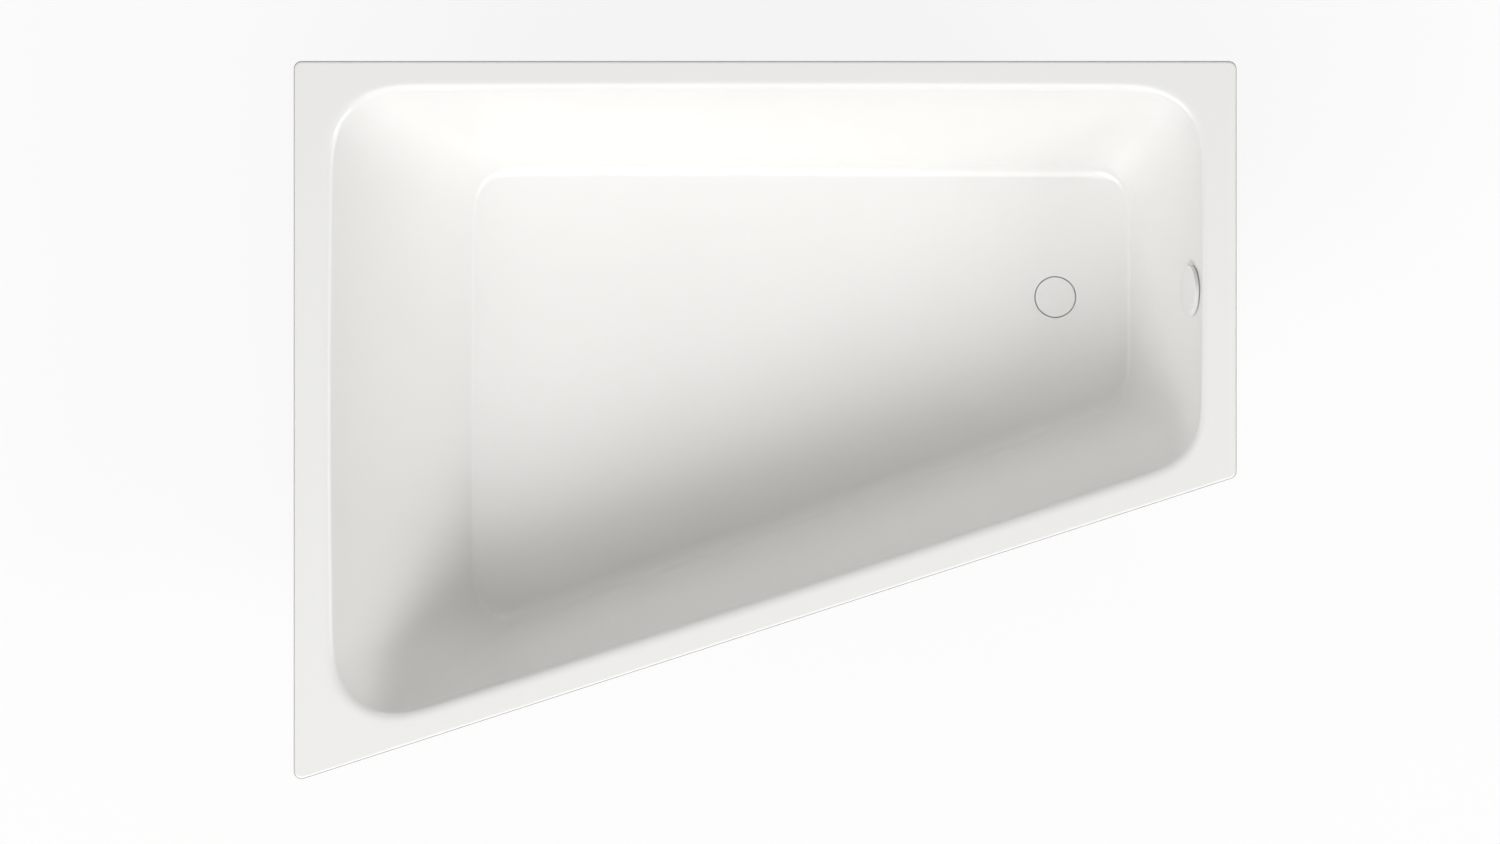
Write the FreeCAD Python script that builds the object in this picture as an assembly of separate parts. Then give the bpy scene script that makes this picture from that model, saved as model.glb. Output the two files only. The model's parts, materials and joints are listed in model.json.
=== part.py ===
import FreeCAD, Part
import math
import os

# Built-in bathtub of enamelled steel with a right-angled trapezoid plan, its levelling feet,
# its waste and trap, and an overflow whose round cover is the knob that lifts the drain plug.
# Millimetres. The origin is on the room's floor, below the middle of the rim's bounding
# rectangle. X runs from the wide head end to the narrow foot end, Y towards the back wall, Z up.

Vector = FreeCAD.Vector
UP = Vector(0, 0, 1)
ACROSS = Vector(0, 1, 0)
ALONG = Vector(1, 0, 0)

os.makedirs("parts", exist_ok=True)

# Rim
LENGTH = 1700.0
HEAD_WIDTH = 1300.0
FOOT_WIDTH = 750.0
RIM_HEIGHT = 600.0
SHEET = 3.0
RIM_CORNER = 14.0
RIM_BEND = 5.0
FLANGE_HEIGHT = 32.0

# Basin: the floor level is the floor's height at the drain, above the room's floor; each ledge is
# the rim's width at the ends of a side, each bow is how far the side's opening bulges outwards,
# and each base is how far the foot of the wall lies inside the rim
FLOOR_LEVEL = 180.0
FRONT_LEDGE = 52.0
FRONT_BOW = 4.5
FRONT_BASE_AT_HEAD = 143.0
FRONT_BASE_AT_FOOT = 194.5
FOOT_LEDGE = 63.0
FOOT_BOW = 3.0
FOOT_BASE = 190.5
BACK_LEDGE = 48.0
BACK_BOW = 2.5
BACK_BASE_AT_FOOT = 186.5
BACK_BASE_AT_HEAD = 190.5
HEAD_LEDGE = 68.0
HEAD_BOW = 7.0
HEAD_BASE = 336.0
OPENING_CORNER = 120.0
BASE_CORNER = 58.0
ROLL = 24.0
FLOOR_BEND = 32.0
FLOOR_FALL = 1.0  # degrees, towards the drain

# Drain: a pressed recess in the floor, with a valve seat clamped in it and a flush cap
DRAIN_FROM_FOOT = 323.0
DRAIN_FROM_BACK = 424.0
CAP_RADIUS = 36.0
CAP_GAP = 1.7
CAP_SHEET = 3.5
CAP_EDGE = 0.8
RECESS_DEPTH = 10.0
DRAIN_HOLE = 26.0
SEAT_GASKET = 1.5
SEAT_FLANGE = 2.0
SEAT_RADIUS = 35.0
SEAT_BORE = 15.0
SEAT_WALL = 2.0
SEAT_SLEEVE = 14.0
SPIDER_HUB = 6.0
SPIDER_HEIGHT = 4.0
SPIDER_ARM = 2.5
PLUG_RADIUS = 13.0
PLUG_NECK = 11.5
PLUG_STEM = 3.0
STEM_REACH = 7.0
SEAL_HEIGHT = 3.0
PIN_LENGTH = 22.0

# Waste body under the drain, with ports for the overflow pipe and the lifting cable
WASTE_GASKET = 3.0
WASTE_FLANGE_RADIUS = 38.0
WASTE_FLANGE = 5.0
CUP_RADIUS = 28.0
CUP_HEIGHT = 40.0
PLASTIC_WALL = 3.0
DIP_RADIUS = 20.0
DIP_WALL = 2.0
PORT_DROP = 18.0
PORT_REACH = 54.0
GUIDE_RADIUS = 6.0
GUIDE_HEIGHT = 8.0
GUIDE_ARM = 3.0
SCREW_CIRCLE = 21.5
SCREW_RADIUS = 2.0
SCREW_HEAD = 3.6
SCREW_HEAD_HEIGHT = 1.4
SCREW_BOSS = 3.8
SCREW_LENGTH = 22.0
SEAT_SCREWS = 3

# Trap: a water-filled cup round the dip tube, with a side outlet near its top
TRAP_RADIUS = 48.0
TRAP_BOTTOM = 9.0
TRAP_TOP = 115.0
DIP_GAP = 13.0
NECK_RADIUS = 24.0
COLLAR_RADIUS = 27.5
COLLAR_HEIGHT = 4.0
TRAP_SEAL = 2.0
NUT_RADIUS = 33.0
NUT_LIP = 2.2
NUT_COVER = 7.0
OUTLET_RADIUS = 20.0
OUTLET_WALL = 2.5
OUTLET_REACH = 74.0
OUTLET_RUN = 170.0
OUTLET_TURN_RUN = 90.0
OUTLET_BEND = 42.0
SLEEVE_THICK = 5.0
SLEEVE_LENGTH = 26.0

# Overflow: a disc that stands off the foot wall, with water behind its edge
OVERFLOW_FROM_BACK = 414.0
OVERFLOW_DROP = 62.0
OVERFLOW_HOLE = 26.0
KNOB_RADIUS = 46.0
KNOB_THICK = 3.5
KNOB_GAP = 5.5
KNOB_EDGE = 0.9
KNOB_HUB = 9.0
HUB_GAP = 0.5
SPINDLE_SHAFT = 4.0
SHAFT_REACH = 30.0
BRACKET_RADIUS = 33.0
BRACKET_BORE = 17.0
BRACKET_THICK = 2.0
BRACKET_SEAL = 1.5
BRACKET_HUB = 8.0
BRACKET_ARM = 6.0
OVERFLOW_GASKET = 3.0
OVERFLOW_FLANGE_RADIUS = 37.0
OVERFLOW_FLANGE = 3.5
OVERFLOW_CUP = 27.0
OVERFLOW_DEPTH = 36.0
SPIGOT_REACH = 52.0
CRANK_THICK = 4.0
CRANK_ARM = 12.0
CRANK_PIN = 2.5
PIPE_RADIUS = 14.0
PIPE_WALL = 2.0
PIPE_BEND = 45.0
PIPE_SEAL = 2.0
PIPE_LEAD = 25.0
CABLE_RADIUS = 2.5
CABLE_PORT = 5.0
CABLE_SPLAY = 50.0  # degrees from straight down to the cable's port on the overflow
CABLE_REACH = 40.0
CABLE_BEND = 28.0
CABLE_LEAD = 44.0
CABLE_TURN = 55.0  # degrees from the X axis to the cable's port on the waste body
FERRULE_RADIUS = 6.5
FERRULE_LENGTH = 10.0

# Levelling feet on two cross rails; the head rail's share is its distance from the head's edge, as
# a share of the tub's length, and the foot rail keeps its distance from the foot, beside the trap
HEAD_RAIL_SHARE = 0.3
RAIL_FROM_FOOT = 560.0
RAIL_WIDTH = 40.0
RAIL_DROP = 30.0
RAIL_SHEET = 2.5
RAIL_TOP = 148.0
RAIL_END_MARGIN = 52.0
FOOT_END_MARGIN = 45.0
SADDLE_LENGTH = 60.0
SADDLE_COUNT = 3
SPINDLE_RADIUS = 5.0
SPINDLE_ABOVE = 9.0
SPINDLE_COLLAR = 8.5
COLLAR_THICK = 8.0
COLLAR_GAP = 3.0
NUT_FLATS = 17.0
NUT_HEIGHT = 8.0
PAD_RADIUS = 34.0
PAD_THICK = 6.0
PLATE_RADIUS = 32.0
PLATE_THICK = 4.0
SOCKET_RADIUS = 13.0
SOCKET_HEIGHT = 14.0

# Earthing lug under the back of the rim
LUG_FROM_FOOT = 250.0
LUG_WIDTH = 20.0
LUG_REACH = 26.0
LUG_RISE = 4.0
LUG_CORNER = 6.0
LUG_SHEET = 2.0
LUG_HOLE = 3.25

# Sound-deadening mats on the outside of the sheet
MAT_THICK = 2.5
MAT_MARGIN = 60.0
MAT_TOP_SHARE = 0.22
MAT_BOTTOM_SHARE = 0.74
HEAD_MAT_SHARES = (0.28, 0.70)
BACK_MAT_SHARES = (0.30, 0.72)
FRONT_MAT_SHARES = (0.32, 0.74)

# Fits shared by all pieces
RUNNING_FIT = 0.05
SEAL_FIT = 0.1
SEAT_CLEARANCE = 0.3
THREAD_CLEARANCE = 0.4
OVERRUN = 5.0

FALL = math.radians(FLOOR_FALL)
FRONT_SLOPE = math.atan2(HEAD_WIDTH - FOOT_WIDTH, LENGTH)
CUT_TIP = RIM_CORNER * (math.tan(FRONT_SLOPE) + 1 / math.cos(FRONT_SLOPE) - 1)
BACK_EDGE = (HEAD_WIDTH - CUT_TIP) / 2
HEAD_EDGE = -LENGTH / 2
FOOT_EDGE = LENGTH / 2
DEPTH = RIM_HEIGHT - FLOOR_LEVEL
HEAD_RAIL_X = HEAD_EDGE + LENGTH * HEAD_RAIL_SHARE
FOOT_RAIL_X = FOOT_EDGE - RAIL_FROM_FOOT
RECESS_LEVEL = FLOOR_LEVEL - RECESS_DEPTH
RECESS_RADIUS = CAP_RADIUS + CAP_GAP
DRAIN = Vector(FOOT_EDGE - DRAIN_FROM_FOOT, BACK_EDGE - DRAIN_FROM_BACK, 0)

SIDES = [
    {"ledge": FRONT_LEDGE, "bow": FRONT_BOW, "bases": (FRONT_BASE_AT_HEAD, FRONT_BASE_AT_FOOT)},
    {"ledge": FOOT_LEDGE, "bow": FOOT_BOW, "bases": (FOOT_BASE, FOOT_BASE)},
    {"ledge": BACK_LEDGE, "bow": BACK_BOW, "bases": (BACK_BASE_AT_FOOT, BACK_BASE_AT_HEAD)},
    {"ledge": HEAD_LEDGE, "bow": HEAD_BOW, "bases": (HEAD_BASE, HEAD_BASE)},
]
COUNT = len(SIDES)


# General shapes

def disc(radius, low, high, centre=Vector()):
    """Upright cylinder between two heights."""
    return Part.makeCylinder(radius, high - low, centre + UP * low)


def ring(inner, outer, low, high, centre=Vector()):
    """Upright tube between two heights."""
    return disc(outer, low, high, centre).cut(disc(inner, low, high, centre))


def turned(points, centre=Vector()):
    """Solid turned about an upright axis from (radius, height) points."""
    corners = [centre + Vector(radius, 0, height) for radius, height in points]
    face = Part.Face(Part.makePolygon(corners + corners[:1]))
    return face.revolve(centre, UP, 360)


def prism(corners, low, high):
    """Upright prism on a closed polygon."""
    raised = [Vector(corner.x, corner.y, low) for corner in corners]
    face = Part.Face(Part.makePolygon(raised + raised[:1]))
    return face.extrude(UP * (high - low))


def hexagon(flats, bore, low, high, centre):
    """Hexagon nut with a round bore."""
    reach = flats / math.sqrt(3)
    turns = [math.radians(60 * index) for index in range(6)]
    corners = [centre + Vector(math.cos(turn), math.sin(turn), 0) * reach for turn in turns]
    return prism(corners, low, high).cut(disc(bore, low, high, centre))


def rod(start, end, radius):
    """Cylinder from one point to another."""
    run = end - start
    return Part.makeCylinder(radius, run.Length, start, run)


def bent_path(points, bend):
    """Straight runs between points, joined by tangent arcs."""
    edges = []
    start = points[0]
    for before, corner, after in zip(points, points[1:], points[2:]):
        towards = (corner - before).normalize()
        away = (after - corner).normalize()
        turn = towards.getAngle(away)
        arc_start = corner - towards * bend * math.tan(turn / 2)
        arc_end = corner + away * bend * math.tan(turn / 2)
        inside = (away - towards).normalize()
        middle = corner + inside * bend * (1 / math.cos(turn / 2) - 1)
        edges.append(Part.makeLine(start, arc_start))
        edges.append(Part.Arc(arc_start, middle, arc_end).toShape())
        start = arc_end
    edges.append(Part.makeLine(start, points[-1]))
    return Part.Wire(edges)


def swept(path, radius):
    """Round bar along a path."""
    first = path.Edges[0]
    point = first.valueAt(first.FirstParameter)
    heading = first.tangentAt(first.FirstParameter)
    section = Part.Wire(Part.makeCircle(radius, point, heading))
    return path.makePipeShell([section], True, False)


def bent_tube(points, bend, outer, inner):
    """Tube along straight runs and arcs."""
    path = bent_path(points, bend)
    return swept(path, outer).cut(swept(path, inner))


def drilled(body, holes):
    """Body less every hole."""
    for hole in holes:
        body = body.cut(hole)
    return body


def joined(pieces):
    """One solid from pieces that touch or overlap."""
    body = pieces[0]
    for piece in pieces[1:]:
        body = body.fuse(piece)
    return body.removeSplitter()


def save(name, shape):
    """Write one node; loose pieces of a group stay separate solids."""
    shape.exportStep("parts/" + name + ".step")


def save_group(name, solids):
    save(name, Part.makeCompound(solids))


# Basin outlines

def rim_corners():
    """Corners of the rim, anticlockwise from the head end of the front."""
    return [
        Vector(HEAD_EDGE, BACK_EDGE - HEAD_WIDTH, 0),
        Vector(FOOT_EDGE, BACK_EDGE - FOOT_WIDTH, 0),
        Vector(FOOT_EDGE, BACK_EDGE, 0),
        Vector(HEAD_EDGE, BACK_EDGE, 0),
    ]


def meeting(line, other):
    """Point where two level lines cross, each given by two points."""
    run = line[1] - line[0]
    other_run = other[1] - other[0]
    reach = (other[0] - line[0]).cross(other_run).z / run.cross(other_run).z
    return line[0] + run * reach


def inset_corners(insets):
    """Corners of the rim's outline after each side moves in by its first and last inset."""
    corners = rim_corners()
    lines = []
    for index, (first, last) in enumerate(insets):
        start = corners[index]
        end = corners[(index + 1) % COUNT]
        inward = UP.cross(end - start).normalize()
        lines.append((start + inward * first, end + inward * last))
    return [meeting(lines[index - 1], lines[index]) for index in range(COUNT)]


def wall_share(height):
    """Share of the wall above a height: none at the rim, all at the drain."""
    return (RIM_HEIGHT - height) / DEPTH


def level_growth(side, grow):
    """Level distance that moves a leaning wall outwards by grow, square to itself."""
    run = sum(side["bases"]) / 2 - side["ledge"]
    return grow * math.hypot(DEPTH, run) / DEPTH


def wall_insets(height, grow):
    """Insets of the four walls at a height, with the walls moved outwards by grow."""
    share = wall_share(height)
    insets = []
    for side in SIDES:
        ledge = side["ledge"] - level_growth(side, grow)
        insets.append([ledge + (base - side["ledge"]) * share for base in side["bases"]])
    return insets


def side_circles(corners, rim_outline):
    """Centre and radius of each bowed side; a bow shrinks with its side."""
    circles = []
    for index, side in enumerate(SIDES):
        start, end = corners[index], corners[(index + 1) % COUNT]
        rim_length = (rim_outline[(index + 1) % COUNT] - rim_outline[index]).Length
        chord = end - start
        bow = side["bow"] * chord.Length / rim_length
        radius = (chord.Length ** 2 / 4 + bow ** 2) / (2 * bow)
        inward = UP.cross(chord).normalize()
        circles.append(((start + end) / 2 + inward * (radius - bow), radius))
    return circles


def corner_round(first, second, radius, corner):
    """Start, middle and end of the arc that rounds the corner between two bowed sides."""
    (first_centre, first_radius), (second_centre, second_radius) = first, second
    first_reach = first_radius - radius
    second_reach = second_radius - radius
    apart = (second_centre - first_centre).Length
    heading = (second_centre - first_centre).normalize()
    forward = (first_reach ** 2 - second_reach ** 2 + apart ** 2) / (2 * apart)
    sideways = UP.cross(heading) * math.sqrt(first_reach ** 2 - forward ** 2)
    base = first_centre + heading * forward
    centre = min([base + sideways, base - sideways], key=lambda point: (point - corner).Length)
    start = first_centre + (centre - first_centre).normalize() * first_radius
    end = second_centre + (centre - second_centre).normalize() * second_radius
    middle = centre + ((start + end) / 2 - centre).normalize() * radius
    return start, middle, end


def basin_outline(height, grow):
    """Level wire round the basin: four bowed sides joined by tangent corner arcs."""
    corners = inset_corners(wall_insets(height, grow))
    circles = side_circles(corners, inset_corners(wall_insets(RIM_HEIGHT, 0)))
    radius = OPENING_CORNER + (BASE_CORNER - OPENING_CORNER) * wall_share(height) + grow
    rounds = []
    for index in range(COUNT):
        rounds.append(corner_round(circles[index - 1], circles[index], radius, corners[index]))
    lift = UP * height
    edges = []
    for index, (start, middle, end) in enumerate(rounds):
        edges.append(Part.Arc(start + lift, middle + lift, end + lift).toShape())
        following = rounds[(index + 1) % COUNT][0]
        centre, side_radius = circles[index]
        bulge = centre + ((end + following) / 2 - centre).normalize() * side_radius
        edges.append(Part.Arc(end + lift, bulge + lift, following + lift).toShape())
    return Part.Wire(edges)


# Tub shell

def floor_height(point, grow=0.0):
    """Height of the falling floor above a point, or of its underside at grow."""
    climb = ((point - DRAIN).Length - RECESS_RADIUS) * math.tan(FALL)
    return FLOOR_LEVEL - grow / math.cos(FALL) + climb


def below_floor(grow):
    """Everything under a floor that falls to the drain as a shallow cone."""
    apex = floor_height(DRAIN, grow)
    far = apex + LENGTH * math.tan(FALL)
    bottom = apex - RAIL_TOP
    return turned([(0, apex), (LENGTH, far), (LENGTH, bottom), (0, bottom)], DRAIN)


def bowl(grow):
    """Solid that fills the basin up to the rim, with its surface moved outwards by grow."""
    low = FLOOR_LEVEL - RECESS_DEPTH - grow
    walls = Part.makeLoft([basin_outline(RIM_HEIGHT, grow), basin_outline(low, grow)], True, True)
    body = walls.cut(below_floor(grow)).Solids[0]
    floor = max(body.Faces, key=lambda face: face.Area if face.CenterOfMass.z < RIM_HEIGHT / 2 else 0)
    edges = [edge for edge in floor.OuterWire.Edges if not edge.isSeam(floor)]
    return body.makeFillet(FLOOR_BEND + grow, edges)


def rounded_slab(inset, corner, low, high):
    """Slab on the rim's outline, moved in by inset, with upright corners rounded."""
    slab = prism(inset_corners([(inset, inset)] * COUNT), low, high)
    upright = [edge for edge in slab.Edges if abs(edge.tangentAt(edge.FirstParameter).z) > 0.5]
    return slab.makeFillet(corner, upright)


def top_edges(body, height):
    """Edges that lie wholly at one height."""
    close = SHEET / 100
    return [
        edge for edge in body.Edges
        if abs(edge.BoundBox.ZMin - height) < close and abs(edge.BoundBox.ZMax - height) < close
    ]


def roll_edges(body, height, grow):
    """Edges at one height that run along the basin's opening."""
    opening = basin_outline(height, grow)
    close = SHEET / 10
    chosen = []
    for edge in top_edges(body, height):
        middle = edge.valueAt(edge.getParameterByLength(edge.Length / 2))
        if opening.distToShape(Part.Vertex(middle))[0] < close:
            chosen.append(edge)
    return chosen


def basin_space():
    """The basin's hollow with the rolled lip of the rim, open upwards."""
    above = rounded_slab(-OVERRUN, RIM_CORNER, RIM_HEIGHT, RIM_HEIGHT + FLANGE_HEIGHT)
    space = bowl(0).fuse(above).removeSplitter()
    return space.makeFillet(ROLL, roll_edges(space, RIM_HEIGHT, 0))


def sheet_outside():
    """The tub as a full block: rim slab on the bowl, with the underside of the roll."""
    underside = RIM_HEIGHT - SHEET
    plate = rounded_slab(0, RIM_CORNER, underside, RIM_HEIGHT)
    body = bowl(SHEET).fuse(plate).removeSplitter()
    body = body.makeFillet(ROLL - SHEET, roll_edges(body, underside, SHEET))
    low = RIM_HEIGHT - FLANGE_HEIGHT
    skirt = rounded_slab(0, RIM_CORNER, low, RIM_HEIGHT)
    skirt = skirt.makeFillet(RIM_BEND, top_edges(skirt, RIM_HEIGHT))
    inside = rounded_slab(SHEET, RIM_CORNER - SHEET, low - OVERRUN, underside)
    inside = inside.makeFillet(RIM_BEND - SHEET, top_edges(inside, underside))
    block = skirt.cut(inside)
    return block.fuse(body.common(skirt.fuse(inside_column(low)))).removeSplitter()


def inside_column(high):
    """Everything below the flange, inside the rim's outline."""
    return rounded_slab(SHEET, RIM_CORNER - SHEET, 0, high)


def foot_wall_point(height):
    """Point of the foot wall at a height, on the overflow's middle line."""
    start = Vector(DRAIN.x, BACK_EDGE - OVERFLOW_FROM_BACK, height)
    line = Part.makeLine(start, start + ALONG * LENGTH)
    nearest = basin_outline(height, 0).distToShape(line)[1][0]
    return nearest[0]


def overflow_frame():
    """Place of the overflow: its local Z leaves the foot wall, its local X runs up the wall."""
    upper = foot_wall_point(RIM_HEIGHT)
    lower = foot_wall_point(FLOOR_LEVEL)
    lean = math.degrees(math.atan2(upper.z - lower.z, upper.x - lower.x))
    place = foot_wall_point(RIM_HEIGHT - OVERFLOW_DROP)
    return FreeCAD.Placement(place, FreeCAD.Rotation(ACROSS, -lean))


OVERFLOW = overflow_frame()


def on_foot_wall(shape):
    """Move a shape from the overflow's local frame to its place."""
    moved = shape.copy()
    moved.Placement = OVERFLOW
    return moved


def make_tub_shell():
    """Pressed steel sheet: rim, flange, rolled lip, walls, floor and drain recess in one piece."""
    low = RECESS_LEVEL - SHEET
    cup = disc(RECESS_RADIUS + SHEET, low, FLOOR_LEVEL, DRAIN)
    cup = cup.makeFillet(SHEET, top_edges(cup, low))
    body = sheet_outside().fuse(cup).cut(basin_space())
    body = body.cut(disc(RECESS_RADIUS, RECESS_LEVEL, FLOOR_LEVEL + OVERRUN, DRAIN))
    body = body.cut(disc(DRAIN_HOLE, 0, FLOOR_LEVEL, DRAIN))
    body = body.cut(on_foot_wall(disc(OVERFLOW_HOLE, -SHEET - OVERRUN, OVERRUN)))
    return body.removeSplitter()


def floor_line(side_index, x):
    """Point at x on the sharp line where one wall meets the floor's level."""
    corners = inset_corners(wall_insets(FLOOR_LEVEL, 0))
    start = corners[side_index]
    run = corners[(side_index + 1) % COUNT] - start
    return start + run * ((x - start.x) / run.x)


def front_foot_line(x):
    return floor_line(0, x)


def back_foot_line(x):
    return floor_line(2, x)


def between(first, last, share):
    """Point or value part of the way from one to another."""
    return first + (last - first) * share


# Sound-deadening mats

def wall_mat_region(start, end, inward):
    """Upright block that picks one wall's middle, from two points on the rim's edge."""
    corners = [start, end, end + inward, start + inward]
    low = RIM_HEIGHT - DEPTH * MAT_BOTTOM_SHARE
    high = RIM_HEIGHT - DEPTH * MAT_TOP_SHARE
    return prism(corners, low, high)


def wall_region(side_index, shares):
    """Region over one wall, between two shares of that side's length."""
    corners = rim_corners()
    start = corners[side_index]
    end = corners[(side_index + 1) % COUNT]
    reach = max(SIDES[side_index]["bases"]) + FLOOR_BEND
    inward = UP.cross(end - start).normalize() * reach
    return wall_mat_region(between(start, end, shares[0]), between(start, end, shares[1]), inward)


def floor_mat_region():
    """Region under the floor, between the two rails."""
    half = RAIL_WIDTH / 2 + MAT_MARGIN
    low_x = HEAD_RAIL_X + half
    high_x = FOOT_RAIL_X - half
    aside = ACROSS * MAT_MARGIN
    corners = [
        front_foot_line(low_x) + aside,
        front_foot_line(high_x) + aside,
        back_foot_line(high_x) - aside,
        back_foot_line(low_x) - aside,
    ]
    return prism(corners, 0, FLOOR_LEVEL + FLOOR_BEND)


def make_mats():
    skin = bowl(SHEET + MAT_THICK).cut(bowl(SHEET))
    return {
        "floor_mat": skin.common(floor_mat_region()),
        "head_wall_mat": skin.common(wall_region(3, HEAD_MAT_SHARES)),
        "back_wall_mat": skin.common(wall_region(2, BACK_MAT_SHARES)),
        "front_wall_mat": skin.common(wall_region(0, FRONT_MAT_SHARES)),
    }


# Earthing lug

def make_earth_lug():
    """Level tab welded inside the flange, with a hole for the bolt of an earth cable."""
    low = RIM_HEIGHT - FLANGE_HEIGHT + LUG_RISE
    corner = Vector(FOOT_EDGE - LUG_FROM_FOOT, BACK_EDGE - SHEET - LUG_REACH, low)
    tab = Part.makeBox(LUG_WIDTH, LUG_REACH, LUG_SHEET, corner)
    free = [
        edge for edge in tab.Edges
        if edge.Length < LUG_SHEET * 2 and edge.CenterOfMass.y < corner.y + LUG_REACH / 2
    ]
    tab = tab.makeFillet(LUG_CORNER, free)
    middle = Vector(corner.x + LUG_WIDTH / 2, corner.y + LUG_REACH / 2, 0)
    return tab.cut(disc(LUG_HOLE, low, low + LUG_SHEET, middle))


# Rails and levelling feet

def rail_ends(x):
    """Front and back ends of the cross rail at x."""
    return front_foot_line(x).y + RAIL_END_MARGIN, back_foot_line(x).y - RAIL_END_MARGIN


def foot_places(x):
    """Feet near both ends of the rail at x, front first."""
    front, back = rail_ends(x)
    return [Vector(x, front + FOOT_END_MARGIN, 0), Vector(x, back - FOOT_END_MARGIN, 0)]


def make_rail(x):
    """Steel channel, open downwards, with a clearance hole over each foot."""
    front, back = rail_ends(x)
    low = RAIL_TOP - RAIL_DROP
    corner = Vector(x - RAIL_WIDTH / 2, front, low)
    body = Part.makeBox(RAIL_WIDTH, back - front, RAIL_DROP, corner)
    hollow = Part.makeBox(
        RAIL_WIDTH - 2 * RAIL_SHEET, back - front + 2 * OVERRUN, RAIL_DROP - RAIL_SHEET + OVERRUN,
        corner + ALONG * RAIL_SHEET - ACROSS * OVERRUN - UP * OVERRUN,
    )
    bore = SPINDLE_RADIUS + THREAD_CLEARANCE
    holes = [disc(bore, low, RAIL_TOP + OVERRUN, place) for place in foot_places(x)]
    return drilled(body, [hollow] + holes)


def make_saddles(x):
    """Blocks glued between the rail and the falling floor, spread between the feet."""
    front, back = [place.y for place in foot_places(x)]
    underside = below_floor(SHEET)
    saddles = []
    for index in range(SADDLE_COUNT):
        share = (index + 0.5) / SADDLE_COUNT
        corner = Vector(x - RAIL_WIDTH / 2, between(front, back, share) - SADDLE_LENGTH / 2, RAIL_TOP)
        block = Part.makeBox(RAIL_WIDTH, SADDLE_LENGTH, FLOOR_LEVEL - RAIL_TOP + FLOOR_BEND, corner)
        saddles.append(block.common(underside))
    return saddles


def all_foot_places():
    return foot_places(HEAD_RAIL_X) + foot_places(FOOT_RAIL_X)


def make_rail_nuts():
    """Nuts welded under the web of the rails; the spindles screw through them."""
    high = RAIL_TOP - RAIL_SHEET
    bore = SPINDLE_RADIUS + RUNNING_FIT
    return [hexagon(NUT_FLATS, bore, high - NUT_HEIGHT, high, place) for place in all_foot_places()]


def make_lock_nuts():
    """Nuts that lock the spindles from below once the tub is level."""
    high = RAIL_TOP - RAIL_SHEET - NUT_HEIGHT - SEAT_CLEARANCE
    bore = SPINDLE_RADIUS + RUNNING_FIT
    return [hexagon(NUT_FLATS, bore, high - NUT_HEIGHT, high, place) for place in all_foot_places()]


def make_foot_pad(place):
    """Rubber disc that stands on the room's floor."""
    pad = disc(PAD_RADIUS, 0, PAD_THICK, place)
    return pad.makeFillet(PAD_THICK / 6, top_edges(pad, PAD_THICK))


def make_foot_plate(place):
    """Plate with a socket that carries the end of the spindle."""
    top = PAD_THICK + PLATE_THICK
    bore = SPINDLE_RADIUS + RUNNING_FIT
    plate = disc(PLATE_RADIUS, PAD_THICK, top, place)
    plate = plate.makeFillet(PLATE_THICK / 4, top_edges(plate, top))
    socket = disc(SOCKET_RADIUS, PAD_THICK, PAD_THICK + SOCKET_HEIGHT, place)
    hole = disc(bore, top, PAD_THICK + SOCKET_HEIGHT + OVERRUN, place)
    return plate.fuse(socket).removeSplitter().cut(hole)


def make_spindle(place):
    """Threaded rod with a hexagon collar for the spanner, standing in the socket."""
    low = PAD_THICK + PLATE_THICK + SEAT_CLEARANCE
    shaft = disc(SPINDLE_RADIUS, low, RAIL_TOP + SPINDLE_ABOVE, place)
    shaft = shaft.makeChamfer(SPINDLE_RADIUS / 5, top_edges(shaft, RAIL_TOP + SPINDLE_ABOVE))
    collar_low = PAD_THICK + SOCKET_HEIGHT + COLLAR_GAP
    collar_high = collar_low + COLLAR_THICK
    collar = hexagon(2 * SPINDLE_COLLAR, SPINDLE_RADIUS / 2, collar_low, collar_high, place)
    return shaft.fuse(collar).removeSplitter()


# Drain plug and valve seat

SEAT_LOW = RECESS_LEVEL + SEAT_GASKET
SLEEVE_LOW = SEAT_LOW + SEAT_FLANGE - SEAT_SLEEVE
PLUG_LOW = SLEEVE_LOW + SPIDER_HEIGHT + SEAT_CLEARANCE
STEM_LOW = SLEEVE_LOW - STEM_REACH
CUP_TOP = RECESS_LEVEL - SHEET - WASTE_GASKET
CUP_LOW = CUP_TOP - CUP_HEIGHT


def around(count, radius, centre=Vector()):
    """Points evenly spaced on a level circle."""
    turns = [2 * math.pi * index / count for index in range(count)]
    return [centre + Vector(math.cos(turn), math.sin(turn), 0) * radius for turn in turns]


def spider(hub, bore, reach, arm, low, high, centre, count=3):
    """Hub held by arms that reach outwards, turned half a step from the screws."""
    pieces = [disc(hub, low, high, centre)]
    for index in range(count):
        bar = Part.makeBox(reach, arm, high - low, Vector(0, -arm / 2, low))
        bar.rotate(Vector(), UP, 360 * (index + 0.5) / count)
        bar.translate(centre)
        pieces.append(bar)
    return joined(pieces).cut(disc(bore, low, high, centre))


def make_drain_cover():
    """Enamelled steel cap, flush with the floor when the drain is shut."""
    cap = disc(CAP_RADIUS, FLOOR_LEVEL - CAP_SHEET, FLOOR_LEVEL, DRAIN)
    return cap.makeFillet(CAP_EDGE, top_edges(cap, FLOOR_LEVEL))


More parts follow.
